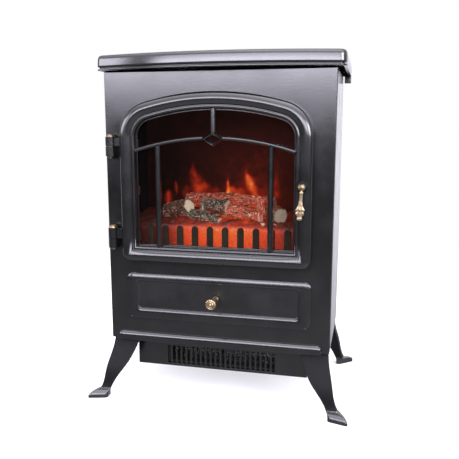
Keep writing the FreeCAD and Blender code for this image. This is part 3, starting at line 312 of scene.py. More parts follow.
def add(name, verts, faces, mat, body, reps=(), slot=None, angle=38.0, weld=True, attrs=None, world=False, smooth=True):
    me = bpy.data.meshes.new(name)
    co = np.asarray(verts, float) if world else W(verts)
    me.from_pydata([tuple(v) for v in co], [], [tuple(int(i) for i in f) for f in faces])
    if attrs:
        for k, val in attrs.items():
            val = np.asarray(val, float)
            if val.ndim == 1:
                a = me.attributes.new(k, "FLOAT", "POINT")
                a.data.foreach_set("value", val.astype(np.float32))
            else:
                a = me.attributes.new(k, "FLOAT_VECTOR", "POINT")
                a.data.foreach_set("vector", val.astype(np.float32).ravel())
    bm = bmesh.new()
    bm.from_mesh(me)
    if weld:
        bmesh.ops.remove_doubles(bm, verts=bm.verts, dist=2e-6)
        bmesh.ops.dissolve_degenerate(bm, edges=bm.edges, dist=1e-7)
    bmesh.ops.recalc_face_normals(bm, faces=bm.faces)
    bm.to_mesh(me)
    bm.free()
    ob = bpy.data.objects.new(name, me)
    bpy.context.scene.collection.objects.link(ob)
    me.materials.append(MAT[mat] if isinstance(mat, str) else mat)
    if smooth:
        me.shade_smooth()
        me.set_sharp_from_angle(angle=math.radians(angle))
        w = ob.modifiers.new("wn", "WEIGHTED_NORMAL")
        w.keep_sharp = True
        w.weight = 60
    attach(ob, body)
    if reps:
        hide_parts(*reps)
    return ob


class Mesh:
    """Collects vertices and faces of one piece."""

    def __init__(self):
        self.v, self.f = [], []

    def put(self, pts):
        k = len(self.v)
        self.v.extend([tuple(p) for p in np.asarray(pts, float)])
        return list(range(k, k + len(pts)))

    def rings(self, rings, closed=True, cap0=False, cap1=False, loop=False):
        ids = [self.put(r) for r in rings]
        pairs = list(zip(ids[:-1], ids[1:]))
        if loop:
            pairs.append((ids[-1], ids[0]))
        for a, b in pairs:
            n = len(a)
            for i in range(n if closed else n - 1):
                j = (i + 1) % n
                self.f.append((a[i], a[j], b[j], b[i]))
        if cap0:
            self.f.append(tuple(ids[0]))
        if cap1:
            self.f.append(tuple(ids[-1]))
        return ids

    def fill(self, loops, y=None, plane="xz"):
        """A flat face with holes between 2-D loops."""
        pts = []
        polys = []
        for lp in loops:
            if plane == "xz":
                p3 = [Vector((p[0], y, p[1])) for p in lp]
            else:
                p3 = [Vector((p[0], p[1], y)) for p in lp]
            polys.append(p3)
            pts += p3
        tris = tessellate_polygon(polys)
        ids = self.put([tuple(p) for p in pts])
        for t in tris:
            self.f.append((ids[t[0]], ids[t[1]], ids[t[2]]))

    def add(self, name, mat, body, **kw):
        return add(name, self.v, self.f, mat, body, **kw)


def arc(cx, cy, r, a0, a1, n):
    t = np.radians(np.linspace(a0, a1, n))
    return [(cx + r * math.cos(a), cy + r * math.sin(a)) for a in t]


def rrect(x0, x1, y0, y1, r, n=7, side=1):
    """Rounded rectangle, counter-clockwise, the same number of points whatever its size."""
    pts = []
    for cx, cy, a in ((x0 + r, y0 + r, 180), (x1 - r, y0 + r, 270), (x1 - r, y1 - r, 0), (x0 + r, y1 - r, 90)):
        pts += arc(cx, cy, r, a, a + 90, n)
    if side > 1:
        out = []
        for i, p in enumerate(pts):
            q = pts[(i + 1) % len(pts)]
            out.append(p)
            if i % n == n - 1:
                for k in range(1, side):
                    out.append((p[0] + (q[0] - p[0]) * k / side, p[1] + (q[1] - p[1]) * k / side))
        pts = out
    return pts


DH, DT, DL, RA, RS = 145.5, 484.0, 227.5, 385.0, 52.0
CX = DH - RS
RISE = math.sqrt((RA - RS) ** 2 - CX ** 2)
AZC = DT - RA
A_T = math.degrees(math.atan2(RISE, CX))


def arched(d, low_r=0.0, na=40, ns=12, nl=6, nstr=8):
    """The door's outline moved in by d, counter-clockwise from the lower left."""
    w, z0 = DH - d, DL + d
    r = max(low_r - d, 0.0)
    pts = []
    pts += arc(-w + r, z0 + r, r, 180, 270, nl)
    x0, x1 = -w + r, w - r
    pts += [(x0 + (x1 - x0) * k / nstr, z0) for k in range(1, nstr)]
    pts += arc(w - r, z0 + r, r, 270, 360, nl)
    zs = AZC + RISE
    pts += [(w, z0 + r + (zs - z0 - r) * k / nstr) for k in range(1, nstr)]
    pts += arc(CX, zs, RS - d, 0, A_T, ns)
    pts += arc(0, AZC, RA - d, A_T, 180 - A_T, na)[1:-1]
    pts += arc(-CX, zs, RS - d, 180 - A_T, 180, ns)
    pts += [(-w, zs + (z0 + r - zs) * k / nstr) for k in range(1, nstr)]
    return pts


def crv(points, n=6):
    """A smooth curve through 2-D points (Catmull-Rom)."""
    p = np.asarray(points, float)
    p = np.vstack([2 * p[0] - p[1], p, 2 * p[-1] - p[-2]])
    out = []
    for i in range(1, len(p) - 2):
        for k in range(n):
            t = k / n
            a, b, c, d = p[i - 1], p[i], p[i + 1], p[i + 2]
            out.append(0.5 * ((2 * b) + (-a + c) * t + (2 * a - 5 * b + 4 * c - d) * t * t + (-a + 3 * b - 3 * c + d) * t ** 3))
    out.append(p[-2])
    return np.array(out)


def offset_loop(loop, d):
    """Moves a counter-clockwise 2-D loop inwards by d."""
    p = np.asarray(loop, float)
    a, b = np.roll(p, 1, 0), np.roll(p, -1, 0)
    e1, e2 = p - a, b - p
    e1 /= np.maximum(np.linalg.norm(e1, axis=1, keepdims=True), 1e-9)
    e2 /= np.maximum(np.linalg.norm(e2, axis=1, keepdims=True), 1e-9)
    n1 = np.column_stack([-e1[:, 1], e1[:, 0]])
    n2 = np.column_stack([-e2[:, 1], e2[:, 0]])
    m = n1 + n2
    m /= np.maximum((m * n1).sum(1, keepdims=True), 0.25) * 1.0
    return [tuple(v) for v in (p + m * d / 1.0 * 1.0 * (1.0 / np.maximum(((m * n1).sum(1, keepdims=True)), 1e-6)) * ((m * n1).sum(1, keepdims=True)))]


def plate(mesh, outer, holes, y0, y1, bev=0.5, hole_bev=None, seg=2):
    """Flat plate between y0 (front) and y1 (back) with rounded front edges."""
    hb = bev if hole_bev is None else hole_bev
    front = []
    for loop, sgn, b in [(outer, 1, bev)] + [(h, -1, hb) for h in holes]:
        rings = []
        for k in range(seg + 1):
            a = math.pi / 2 * k / seg
            d = b * (1 - math.sin(a))
            yy = y0 + b * (1 - math.cos(a))
            rings.append([(p[0], yy, p[1]) for p in offset_loop(loop, sgn * d)])
        rings.append([(p[0], y1, p[1]) for p in loop])
        mesh.rings(rings)
        front.append([(r[0], r[2]) for r in rings[0]])
    mesh.fill(front, y0)
    mesh.fill([outer] + list(holes), y1)


def lathe(profile, n=48):
    """Rings of a turned form: profile is (radius, height) pairs."""
    t = np.linspace(0, 2 * math.pi, n, endpoint=False)
    return [np.column_stack([r * np.cos(t), r * np.sin(t), np.full(n, h)]) for r, h in profile]


# ============================================================ camera, lights, floor
scene = bpy.context.scene
scene.view_settings.view_transform = "Standard"
scene.view_settings.look = "None"
cam_d = bpy.data.cameras.new("camera")
cam = bpy.data.objects.new("camera", cam_d)
scene.collection.objects.link(cam)
cam_d.sensor_width = 36.0
cam_d.lens = 594.37 / 459.0 * 36.0
cam_d.dof.use_dof = False
cam_d.clip_start = 0.02
yaw, pitch, roll = math.radians(13.18), math.radians(9.83), math.radians(0.08)
fwd = Vector((-math.sin(yaw) * math.cos(pitch), math.cos(yaw) * math.cos(pitch), -math.sin(pitch)))
cam.location = W((222.61, -860.47, 433.62))[0]
cam.rotation_mode = "QUATERNION"
cam.rotation_quaternion = fwd.to_track_quat("-Z", "Y")
scene.camera = cam

world = bpy.data.worlds.new("studio")
scene.world = world
world.use_nodes = True
wn = world.node_tree
for n in list(wn.nodes):
    wn.nodes.remove(n)
wo = wn.nodes.new("ShaderNodeOutputWorld")
bg1 = wn.nodes.new("ShaderNodeBackground")
bg2 = wn.nodes.new("ShaderNodeBackground")
mixw = wn.nodes.new("ShaderNodeMixShader")
lp = wn.nodes.new("ShaderNodeLightPath")
wt = wn.nodes.new("ShaderNodeTexCoord")
wsep = wn.nodes.new("ShaderNodeSeparateXYZ")
wn.links.new(wt.outputs["Generated"], wsep.inputs[0])
# studio surroundings: a low bright strip and a softer ceiling in front, pale sweep behind and below


def wmath(op, a, b):
    n = wn.nodes.new("ShaderNodeMath")
    n.operation = op
    for i, q in enumerate((a, b)):
        if isinstance(q, (int, float)):
            n.inputs[i].default_value = q
        else:
            wn.links.new(q, n.inputs[i])
    return n.outputs[0]


def wrange(v, a, b, c, d):
    n = wn.nodes.new("ShaderNodeMapRange")
    n.interpolation_type = "SMOOTHSTEP"
    for k, q in (("From Min", a), ("From Max", b), ("To Min", c), ("To Max", d)):
        n.inputs[k].default_value = q
    wn.links.new(v, n.inputs["Value"])
    return n.outputs["Result"]


wx, wy, wz = wsep.outputs["X"], wsep.outputs["Y"], wsep.outputs["Z"]
wramp = wn.nodes.new("ShaderNodeValToRGB")
wramp.color_ramp.interpolation = "EASE"
LEVELS = [(-1.0, 0.55), (-0.55, 0.5), (-0.33, 0.36), (-0.20, 0.18), (-0.08, 0.07), (0.0, 0.10), (0.05, 0.35), (0.25, 0.7), (0.42, 1.2), (0.64, 1.9), (0.87, 3.2), (1.0, 4.2)]
for i, (z, lv) in enumerate(LEVELS):
    el = wramp.color_ramp.elements
    e = el[i] if i < 2 else el.new((z + 1) / 2)
    e.position = (z + 1) / 2
    e.color = (lv / 10.0, lv / 10.0, lv / 10.0, 1)
wn.links.new(wrange(wz, -1.0, 1.0, 0.0, 1.0), wramp.inputs[0])
for n in wn.nodes:
    if n.type == "MAP_RANGE":
        n.interpolation_type = "LINEAR"
front = wmath("MULTIPLY", wmath("MULTIPLY", wramp.outputs[0], 10.0), wrange(wx, -0.9, 0.6, 0.78, 1.2))
front = wmath("MULTIPLY", front, wrange(wy, 0.0, 0.25, 1.0, 0.0))
rear = wmath("MULTIPLY", wrange(wy, 0.1, 0.6, 0.0, 1.45), wrange(wz, -0.6, 0.02, 0.32, 1.0))
bg1.inputs[0].default_value = (0.93, 0.91, 1.0, 1)
wn.links.new(wmath("ADD", front, rear), bg1.inputs[1])
bg2.inputs[0].default_value = (1, 1, 1, 1)
bg2.inputs[1].default_value = 1.0
wn.links.new(lp.outputs["Is Camera Ray"], mixw.inputs[0])
wn.links.new(bg1.outputs[0], mixw.inputs[1])
wn.links.new(bg2.outputs[0], mixw.inputs[2])
wn.links.new(mixw.outputs[0], wo.inputs[0])


def area(name, loc, target, size, power, color=(1, 1, 1)):
    d = bpy.data.lights.new(name, "AREA")
    d.shape = "RECTANGLE"
    d.size, d.size_y = size
    d.energy = power
    d.color = color
    o = bpy.data.objects.new(name, d)
    scene.collection.objects.link(o)
    o.location = Vector(loc)
    o.rotation_mode = "QUATERNION"
    o.rotation_quaternion = (Vector(target) - Vector(loc)).to_track_quat("-Z", "Y")
    o.visible_camera = False
    return o


area("strip_front_low", (0.05, -2.0, 0.60), (0.05, 0.0, 0.60), (3.0, 0.10), 4.2 * 3.1416 * 0.30 * 0.8, (0.88, 0.86, 1.0))
area("strip_front", (0.05, -2.0, 0.82), (0.05, 0.0, 0.82), (3.0, 0.34), 11.5 * 3.1416 * 1.02 * 0.8, (0.88, 0.86, 1.0))
area("strip_front_high", (0.05, -2.0, 1.22), (0.05, 0.0, 1.22), (3.0, 0.46), 5.6 * 3.1416 * 1.38 * 0.8, (0.88, 0.86, 1.0))
area("strip_left", (-2.3, -1.1, 1.0), (-0.2, 0.0, 0.95), (1.5, 0.85), 8.0 * 3.1416 * 1.27 * 0.8, (0.88, 0.86, 1.0))
area("strip_right", (2.0, -1.3, 1.0), (0.2, 0.0, 0.95), (1.1, 0.85), 16.0 * 3.1416 * 0.93 * 0.8, (0.94, 0.93, 1.0))

floor_m = bpy.data.materials.new("floor_pale")
floor_m.use_nodes = True
fnt = floor_m.node_tree
for n in list(fnt.nodes):
    fnt.nodes.remove(n)
fout = fnt.nodes.new("ShaderNodeOutputMaterial")
fdif = fnt.nodes.new("ShaderNodeBsdfDiffuse")
fem = fnt.nodes.new("ShaderNodeEmission")
fadd = fnt.nodes.new("ShaderNodeAddShader")
ftr = fnt.nodes.new("ShaderNodeBsdfTransparent")
fmix = fnt.nodes.new("ShaderNodeMixShader")
fv = coords(fnt)
fnt.links.new(mixc(fnt, noise_tex(fnt, fv, 6.0, 3.0), (0.80, 0.80, 0.80), (0.82, 0.82, 0.82)), fdif.inputs["Color"])
fem.inputs["Color"].default_value = (1, 1, 1, 1)
fem.inputs["Strength"].default_value = 0.30
flen = nd(fnt, "ShaderNodeVectorMath", operation="LENGTH")
fnt.links.new(fv, flen.inputs[0])
fade = mrange(fnt, flen.outputs["Value"], 0.45, 1.3, 0.0, 1.0)
fnt.links.new(fdif.outputs[0], fadd.inputs[0])
fnt.links.new(fem.outputs[0], fadd.inputs[1])
fnt.links.new(fade, fmix.inputs[0])
fnt.links.new(fadd.outputs[0], fmix.inputs[1])
fnt.links.new(ftr.outputs[0], fmix.inputs[2])
fnt.links.new(fmix.outputs[0], fout.inputs[0])
fme = bpy.data.meshes.new("floor")
fme.from_pydata([(-1.6, -1.6, 0), (1.6, -1.6, 0), (1.6, 1.6, 0), (-1.6, 1.6, 0)], [], [(0, 1, 2, 3)])
floor = bpy.data.objects.new("floor", fme)
scene.collection.objects.link(floor)
fme.materials.append(floor_m)
floor.visible_glossy = False
floor.visible_diffuse = False

# ============================================================ cabinet
m = Mesh()
window = arched(21.0)
bay = rrect(-130, 130, 142, 198, 0.5, 2)
mag = rrect(125.8, 138.2, 358.8, 389.2, 0.3, 2)
outer = rrect(-175, 175, 95, 515, 2.0, 5)
rings = []
for d, y in ((0, 15), (0, 1.2), (0.1, 0.7), (0.35, 0.35), (0.7, 0.1), (1.2, 0.0)):
    rings.append([(p[0], y, p[1]) for p in rrect(-175 + d, 175 - d, 95 + d, 515 - d, max(2.0 - d, 0.6), 5)])
m.rings(rings)
flat = [(p[0], p[2]) for p in rings[-1]]
m.fill([flat, window, bay, mag], 0.0)
inner = rrect(-173.5, 173.5, 96.5, 513.5, 0.8, 5)
m.fill([inner, window, bay, mag], 1.5)
m.rings([[(p[0], y, p[1]) for p in inner] for y in (1.5, 15)])
m.rings([[(p[0], 15, p[1]) for p in outer], [(p[0], 15, p[1]) for p in inner]])
for h in (window, bay, mag):
    m.rings([[(p[0], y, p[1]) for p in h] for y in (0.0, 1.5)])
m.add("front_panel_pressed", "coat", "cabinet", reps=["front_panel"], slot="powder_black")

# lid: bowed front, rolled face, cove and thin lip, hollow underneath
LR, LC, LH, LREAR, LBOW = 657.0, 13.0, 188.0, 200.0, -27.0
lcx = LH - LC
lrise = math.sqrt((LR - LC) ** 2 - lcx ** 2)
lyb = LBOW + LR
la = math.degrees(math.atan2(lrise, lcx))


def lid_loop(d):
    rf, rc = LR - d, max(LC - d, 0.3)
    pts = arc(0, lyb, rf, 180 + la, 360 - la, 56)[1:-1]
    pts += arc(lcx, lyb - lrise, rc, 360 - la, 360, 10)
    yr = LREAR - d
    r2 = max(3.0 - d, 0.2)
    w = lcx + rc
    pts += [(w, (lyb - lrise) + (yr - r2 - (lyb - lrise)) * k / 6) for k in range(1, 6)]
    pts += arc(w - r2, yr - r2, r2, 0, 90, 5)
    pts += [(w - r2 - 2 * (w - r2) * k / 12, yr) for k in range(1, 12)]
    pts += arc(-w + r2, yr - r2, r2, 90, 180, 5)
    pts += [(-w, (yr - r2) + ((lyb - lrise) - (yr - r2)) * k / 6) for k in range(1, 6)]
    pts += arc(-lcx, lyb - lrise, rc, 180, 180 + la, 10)
    return pts


m = Mesh()
prof = [(5.2, 538.0), (5.2, 517.4), (4.8, 517.1), (1.0, 517.0), (0.35, 517.2), (0, 517.8), (0, 518.8), (0.35, 519.35), (1.0, 519.5), (2.4, 519.6),
        (3.0, 520.0), (3.2, 520.8), (2.8, 521.5), (1.6, 522.0), (0.6, 522.5), (0.1, 523.2), (0.0, 524.2), (0.06, 526), (0.16, 528.5), (0.32, 531.0), (0.56, 533.4),
        (0.95, 535.6), (1.7, 537.4), (3.0, 538.8), (5.0, 539.7), (7.5, 540.0), (14, 540.0)]
rings = [[(p[0], p[1], z) for p in lid_loop(d)] for d, z in prof]
m.rings(rings)
m.fill([[(p[0], p[1]) for p in rings[-1]]], 540.0, "xy")
m.fill([[(p[0], p[1]) for p in rings[0]]], 538.0, "xy")
for sg in (-1, 1):
    a, b = sorted((sg * 176.6, sg * 187.4))
    sk = rrect(a, b, 186.3, 199.4, 1.0, 3)
    m.rings([[(p[0], p[1], z) for p in sk] for z in (517.4, 506.0)])
    sk2 = rrect(a + 0.5, b - 0.5, 186.8, 198.9, 0.7, 3)
    m.rings([[(p[0], p[1], 506.0) for p in sk], [(p[0], p[1], 505.4) for p in sk2]])
    m.fill([sk2], 505.4, "xy")
m.add("lid_pressed", "lid", "cabinet", reps=["lid"], slot="cast_black", angle=50)

# base moulding: half-round with domed ends over a plain band
m = Mesh()
ovolo = crv([(-0.05, 9.3), (-0.9, 9.25), (-2.3, 8.7), (-3.8, 7.5), (-5.0, 5.8), (-5.75, 3.7), (-6.0, 1.7), (-5.85, 0.7), (-5.3, 0.12), (-4.3, 0.0), (-2.0, 0.0), (-0.05, 0.0)], 4)
xs = [-164 + 8.6 * (1 - math.cos(math.pi / 2 * k / 10)) for k in range(11)]
stations = xs[:-1] + list(np.linspace(-155.4, 155.4, 26)) + [-x for x in reversed(xs[:-1])]
rings = []
for x in stations:
    e = max(abs(x) - 155.4, 0) / 8.6
    s = math.sqrt(max(1 - e * e, 0.0009))
    rings.append([(x, min(q[0] * s ** 0.8, -0.05), 99.4 + q[1] * s) for q in ovolo])
m.rings(rings, cap0=True, cap1=True)
bandp = rrect(-163.4, 163.4, 93.5, 100.4, 1.2, 4)
plate(m, bandp, [], -3.9, -0.05, 0.9, seg=3)
m.add("base_moulding_rolled", "cast", "cabinet", reps=["base_moulding"], slot="cast_black", angle=45)

# ============================================================ door
m = Mesh()
outer_side = [(0.0, -1.0), (0.0, -8.0), (0.0, -15.5)]
ridge = crv([(0.0, -15.5), (0.2, -16.9), (0.9, -18.7), (2.4, -20.6), (4.6, -22.3), (7.4, -23.5), (10.2, -24.0), (12.8, -23.7), (15.0, -22.9), (16.8, -21.8), (17.8, -20.8), (18.3, -20.0)], 5)
bead = crv([(18.3, -20.0), (18.8, -19.6), (19.4, -19.6), (20.0, -19.9), (21.0, -20.3), (22.3, -20.2), (23.6, -19.3), (24.6, -17.6), (25.0, -15.6)], 5)
inner_side = [(25.0, -13.0), (19.0, -13.0), (19.0, -1.0), (16.8, -1.0), (16.8, -16.6), (2.2, -17.0), (2.2, -1.0)]
prof = outer_side + [tuple(p) for p in ridge[1:]] + [tuple(p) for p in bead[1:]] + inner_side
rings = []
for d, y in prof:
    rings.append([(p[0], y, p[1]) for p in arched(d, 13.0)])
m.rings(rings, loop=True)
m.add("door_frame_cast", "cast", "door", reps=["door_frame"], slot="cast_black", angle=52)


def bar_profile(w, crown, edge, n=7):
    """Half-rounded bar section: (offset from the centre line, y)."""
    out = [(-w / 2, -10.9), (-w / 2, edge)]
    for k in range(1, n):
        t = -1 + 2 * k / n
        out.append((t * w / 2, edge + (crown - edge) * (1 - abs(t) ** 1.6)))
    out += [(w / 2, edge), (w / 2, -10.9)]
    return out


m = Mesh()
# flat ring that sits in the frame's seat, with a thin visible lip
rings = [[(p[0], y, p[1]) for p in arched(d, 0)] for d, y in ((19.4, -12.8), (26.6, -12.8), (27.0, -12.4), (27.0, -10.8), (19.4, -10.8))]
m.rings(rings, loop=True)
# arched cross bar
CR, CZ = 388.0, 417.0 - 388.0
half = math.degrees(math.asin(120.6 / CR))
for a0, a1 in ((90 + half, 90 + 2.2), (90 - 2.2, 90 - half)):
    rings = []
    for a in np.linspace(a0, a1, 26):
        ca, sa = math.cos(math.radians(a)), math.sin(math.radians(a))
        rings.append([((CR + o) * ca, y, CZ + (CR + o) * sa) for o, y in bar_profile(6.0, -20.6, -17.8)])
    m.rings(rings, cap0=True, cap1=True)
# side bars and middle bar
for xc, w, z0, z1 in ((-85.5, 7.4, 252.6, 405.2), (85.5, 7.4, 252.6, 405.2), (0.0, 7.6, 425.0, 459.2)):
    rings = []
    for z in np.linspace(z0, z1, 12):
        rings.append([(xc + o, y, z) for o, y in bar_profile(w, -20.2, -17.2)])
    m.rings(rings, cap0=True, cap1=True)
# diamond
rings = []
for t, y in ((0, -10.9), (0, -17.6), (0.2, -19.4), (0.5, -20.9), (0.8, -19.4), (1.0, -17.6), (1.0, -10.9)):
    a, b = 16.9 + (10.6 - 16.9) * t, 11.5 + (5.6 - 11.5) * t
    ring = []
    cor = [(a, 0), (0, b), (-a, 0), (0, -b)]
    for i in range(4):
        p, q = cor[i], cor[(i + 1) % 4]
        for k in range(6):
            ring.append((p[0] + (q[0] - p[0]) * k / 6, y, 415 + p[1] + (q[1] - p[1]) * k / 6))
    rings.append(ring)
m.rings(rings, loop=True)
m.add("door_grille_bars", "cast", "door", reps=["door_grille"], slot="cast_black", angle=34)

# ============================================================ controls flap
m = Mesh()
prof = [(0.0, 0.0, -0.4), (0.0, 0.0, -1.6), (0.25, 0, -2.7), (1.0, 0, -3.7), (2.2, 0, -4.3), (4.0, 0, -4.5)]
rings = []


def flap_loop(t, d):
    """t runs from the outer edge (0) to the inner panel (1); d is a further inset."""
    x = 146.5 - 20.0 * t - d
    z0 = 132 + 16.0 * t + (2.05 * (d / 9.8) ** 2.3 if t == 0 else d)
    z1 = 206 - 13.0 * t - d
    r = max(12 - 6.5 * t - d * 0.8, 0.8)
    return rrect(-x, x, z0, z1, r, 9, 6)


for t, d, y in ((0, 0, -0.4), (0, 0, -0.9), (0, 0.3, -1.5), (0, 1.1, -2.15), (0, 2.4, -2.85), (0, 4.0, -3.5), (0, 5.8, -4.0), (0, 7.8, -4.35), (0, 9.8, -4.5),
                (0.62, 0, -4.5), (0.68, 0, -4.45), (0.78, 0, -4.25), (0.84, 0, -3.9), (0.87, 0, -3.55), (0.90, 0, -3.6), (0.93, 0, -3.5), (0.965, 0, -2.9), (1.0, 0.2, -2.3), (1.0, 1.2, -2.15)):
    rings.append([(p[0], y, p[1]) for p in flap_loop(t, d)])
m.rings(rings)
m.fill([[(p[0], p[2]) for p in rings[-1]]], -2.15)
m.fill([[(p[0], p[2]) for p in rings[0]]], -0.4)
flap = m.add("controls_flap_pressed", "coat", "flap", reps=["controls_flap"], slot="cast_black", angle=60)
cutm = bpy.data.meshes.new("notch")
cv, cf = [], []
for sg in (-1, 1):
    a, b = sorted((sg * 134.4, sg * 140.4))
    k = len(cv)
    for x in (a, b):
        for y in (-4.1, 1):
            for z in (131, 139):
                cv.append((x, y, z))
    for f in ((0, 1, 3, 2), (4, 6, 7, 5), (0, 4, 5, 1), (2, 3, 7, 6), (0, 2, 6, 4), (1, 5, 7, 3)):
        cf.append(tuple(k + i for i in f))
cutm.from_pydata([tuple(p) for p in W(cv)], [], cf)
cuto = bpy.data.objects.new("notch", cutm)
scene.collection.objects.link(cuto)
md = flap.modifiers.new("notch", "BOOLEAN")
md.operation = "DIFFERENCE"
md.solver = "EXACT"
md.object = cuto
while flap.modifiers.find("notch") > 0:
    bpy.context.view_layer.objects.active = flap
    with bpy.context.temp_override(object=flap, active_object=flap):
        bpy.ops.object.modifier_move_up(modifier="notch")
dg = bpy.context.evaluated_depsgraph_get()
wnm = flap.modifiers["wn"]
wnm.show_viewport = False
dg.update()
cutmesh = bpy.data.meshes.new_from_object(flap.evaluated_get(bpy.context.evaluated_depsgraph_get()))
flap.modifiers.remove(md)
flap.data = cutmesh
wnm.show_viewport = True
bpy.data.objects.remove(cuto)
if len(flap.data.materials) == 0:
    flap.data.materials.append(MAT["coat"])
flap.data.materials.append(MAT["flap_panel"])
px = [tuple(p) for p in W([(-127.5, -2, 147.5), (127.5, -2, 193.5)])]
for f in flap.data.polygons:
    c = flap.matrix_world @ f.center
    if abs(c.x) < px[1][0] and px[0][2] < c.z < px[1][2]:
        f.material_index = len(flap.data.materials) - 1

# knob: turned brass with rings, a beaded rim and a centre boss
kz = 171.0
prof = crv([(5.2, -4.55), (5.1, -5.4), (4.5, -6.4), (3.8, -7.6), (3.4, -10.5), (3.2, -15), (3.3, -20), (4.0, -24.6), (5.6, -27.6), (7.5, -29.4), (8.4, -31.4),
            (8.3, -33.4), (7.5, -35.0), (6.5, -35.5), (5.7, -34.7), (5.0, -35.2), (4.3, -36.4), (3.4, -36.5), (2.8, -35.6), (2.3, -36.7), (1.4, -37.8), (0.05, -38.0)], 4)
rings = []
nth = 72
for r, y in prof:
    ring = []
    for k in range(nth):
        a = 2 * math.pi * k / nth
        rr = max(r, 0.03)
        if 6.8 < r:
            rr *= 1 + 0.03 * math.cos(a * 14) * min(1, (r - 6.8) / 0.8)
        ring.append((rr * math.cos(a), y, kz + rr * math.sin(a)))
    rings.append(ring)
m = Mesh()
m.rings(rings, cap0=True, cap1=True)
m.add("flap_knob_turned", "brass", "flap", reps=["flap_knob"], slot="antique_brass", angle=60)

# ============================================================ drop handle
hx, hy, hz = 132.0, -34.94, 350.0


def turned_y(profile, cx, cz, n=48):
    t = np.linspace(0, 2 * math.pi, n, endpoint=False)
    return [[(cx + max(r, 0.02) * math.cos(a), y, cz + max(r, 0.02) * math.sin(a)) for a in t] for r, y in profile]


m = Mesh()
m.rings(turned_y(crv([(8.1, -24.05), (8.1, -24.8), (7.6, -26.0), (6.2, -27.4), (4.6, -28.4), (3.0, -28.55), (2.15, -28.5)], 5), hx, hz))
m.add("handle_boss_domed", "leg", "door", reps=["handle_boss"], slot="cast_black", angle=60)
# ball stud split by a slot for the pendant's eye
for sg, nm in ((-1, "left"), (1, "right")):
    m = Mesh()
    rings = []
    for k in range(0, 15):
        x = 1.9 + (5.25 - 1.9) * k / 14
        r = math.sqrt(max(5.4 ** 2 - x ** 2, 0.0))
        rings.append([(hx + sg * x, hy + r * math.cos(a), hz + r * math.sin(a)) for a in np.linspace(0, 2 * math.pi, 40, endpoint=False)])
    m.rings(rings, cap0=True, cap1=True)
    m.add("handle_stud_cheek_" + nm, "brass", "door", reps=["handle_stud"], slot="antique_brass", angle=50)
m = Mesh()
m.rings(turned_y([(2.0, -24.1), (2.0, -28.5), (3.2, -28.7), (3.5, -29.4), (3.3, -30.2), (2.6, -30.9)], hx, hz), cap0=True, cap1=True)
m.add("handle_stud_post", "brass", "door", slot="antique_brass", angle=50)

# pendant: eye, beaded stem, ribbed leaf with a scalloped foot
m = Mesh()
rings = []
for k in range(25):
    a = 2 * math.pi * k / 24
    ring = []
    for j in range(10):
        b = 2 * math.pi * j / 10
        rr = 2.65 + 0.95 * math.cos(b)
        ring.append((hx + 1.45 * math.sin(b), hy + rr * math.cos(a), hz + rr * math.sin(a)))
    rings.append(ring)
m.rings(rings[:-1], loop=True)
# z, half width, half depth, rib depth, spread of the side lobes
prof = [(346.9, 1.5, 1.4, 0), (344.5, 1.9, 1.6, 0), (343.2, 2.7, 2.1, 0), (342.0, 3.0, 2.3, 0), (340.8, 2.5, 2.0, 0), (339.0, 2.35, 1.7, 0),
        (335, 2.35, 1.6, 0), (331, 2.5, 1.6, 0.04), (328, 2.9, 1.7, 0.10), (325.5, 3.4, 1.9, 0.18), (323, 4.2, 2.1, 0.26), (321, 5.2, 2.3, 0.32), (319.0, 6.4, 2.5, 0.36), (317.6, 6.7, 2.5, 0.38),
        (316.4, 5.9, 2.4, 0.38), (315.4, 5.4, 2.4, 0.38), (314.0, 5.8, 2.5, 0.40), (312.4, 6.0, 2.5, 0.40), (311.0, 5.4, 2.3, 0.40), (309.8, 4.3, 2.0, 0.38), (308.6, 3.7, 1.8, 0.3), (307.6, 3.5, 1.8, 0.25),
        (306.8, 3.9, 2.0, 0.2), (305.2, 4.1, 2.0, 0.2), (304.0, 3.4, 1.7, 0.15), (303.2, 1.2, 0.7, 0)]
pz = crv([(a, b) for a, b, c, d in prof], 3)
pt = crv([(c, d) for a, b, c, d in prof], 3)
rings = []
for (z, w), (t, rib) in zip(pz, pt):
    ring = []
    n = 84
    lean = -1.7 * max(0.0, (343.0 - z) / 30.0)
    curl = 1.5 * math.exp(-((z - 318.6) / 2.2) ** 2) + 1.2 * math.exp(-((z - 313.6) / 1.8) ** 2)
    for k in range(n):
        a = 2 * math.pi * k / n
        u = math.cos(a)
        flute = math.cos(u * math.pi * 3.0)
        y = t * math.sin(a) * (1 - max(rib, 0) * 0.75 * (0.5 - 0.5 * flute))
        if math.sin(a) < 0:
            y -= curl * abs(u) ** 3
        ring.append((hx + lean + w * u, hy + y, z))
    rings.append(ring)
m.rings(rings, cap0=True, cap1=True)
m.add("handle_pendant_leaf", "brass", "handle_pendant", reps=["handle_pendant"], slot="antique_brass", angle=70)

# ============================================================ legs
SEC = [(94.95, 129.5, 174, 8, 24), (88, 131.5, 174.4, 5.5, 22.5), (80, 134.3, 175.1, 1.8, 19), (72, 137.5, 176.5, -2.2, 15),
       (64, 141.2, 178.3, -6.5, 10.5), (57, 145, 180, -10.1, 6.5), (50, 149.6, 181.5, -13.2, 3), (44, 154.1, 182.7, -15.1, 0.5),
       (38, 158.6, 183.8, -16.4, -1.5), (31, 163.5, 185, -17.2, -3), (20, 169.9, 188.1, -17.9, -4.6), (13, 173, 191.5, -20, -5.5)]


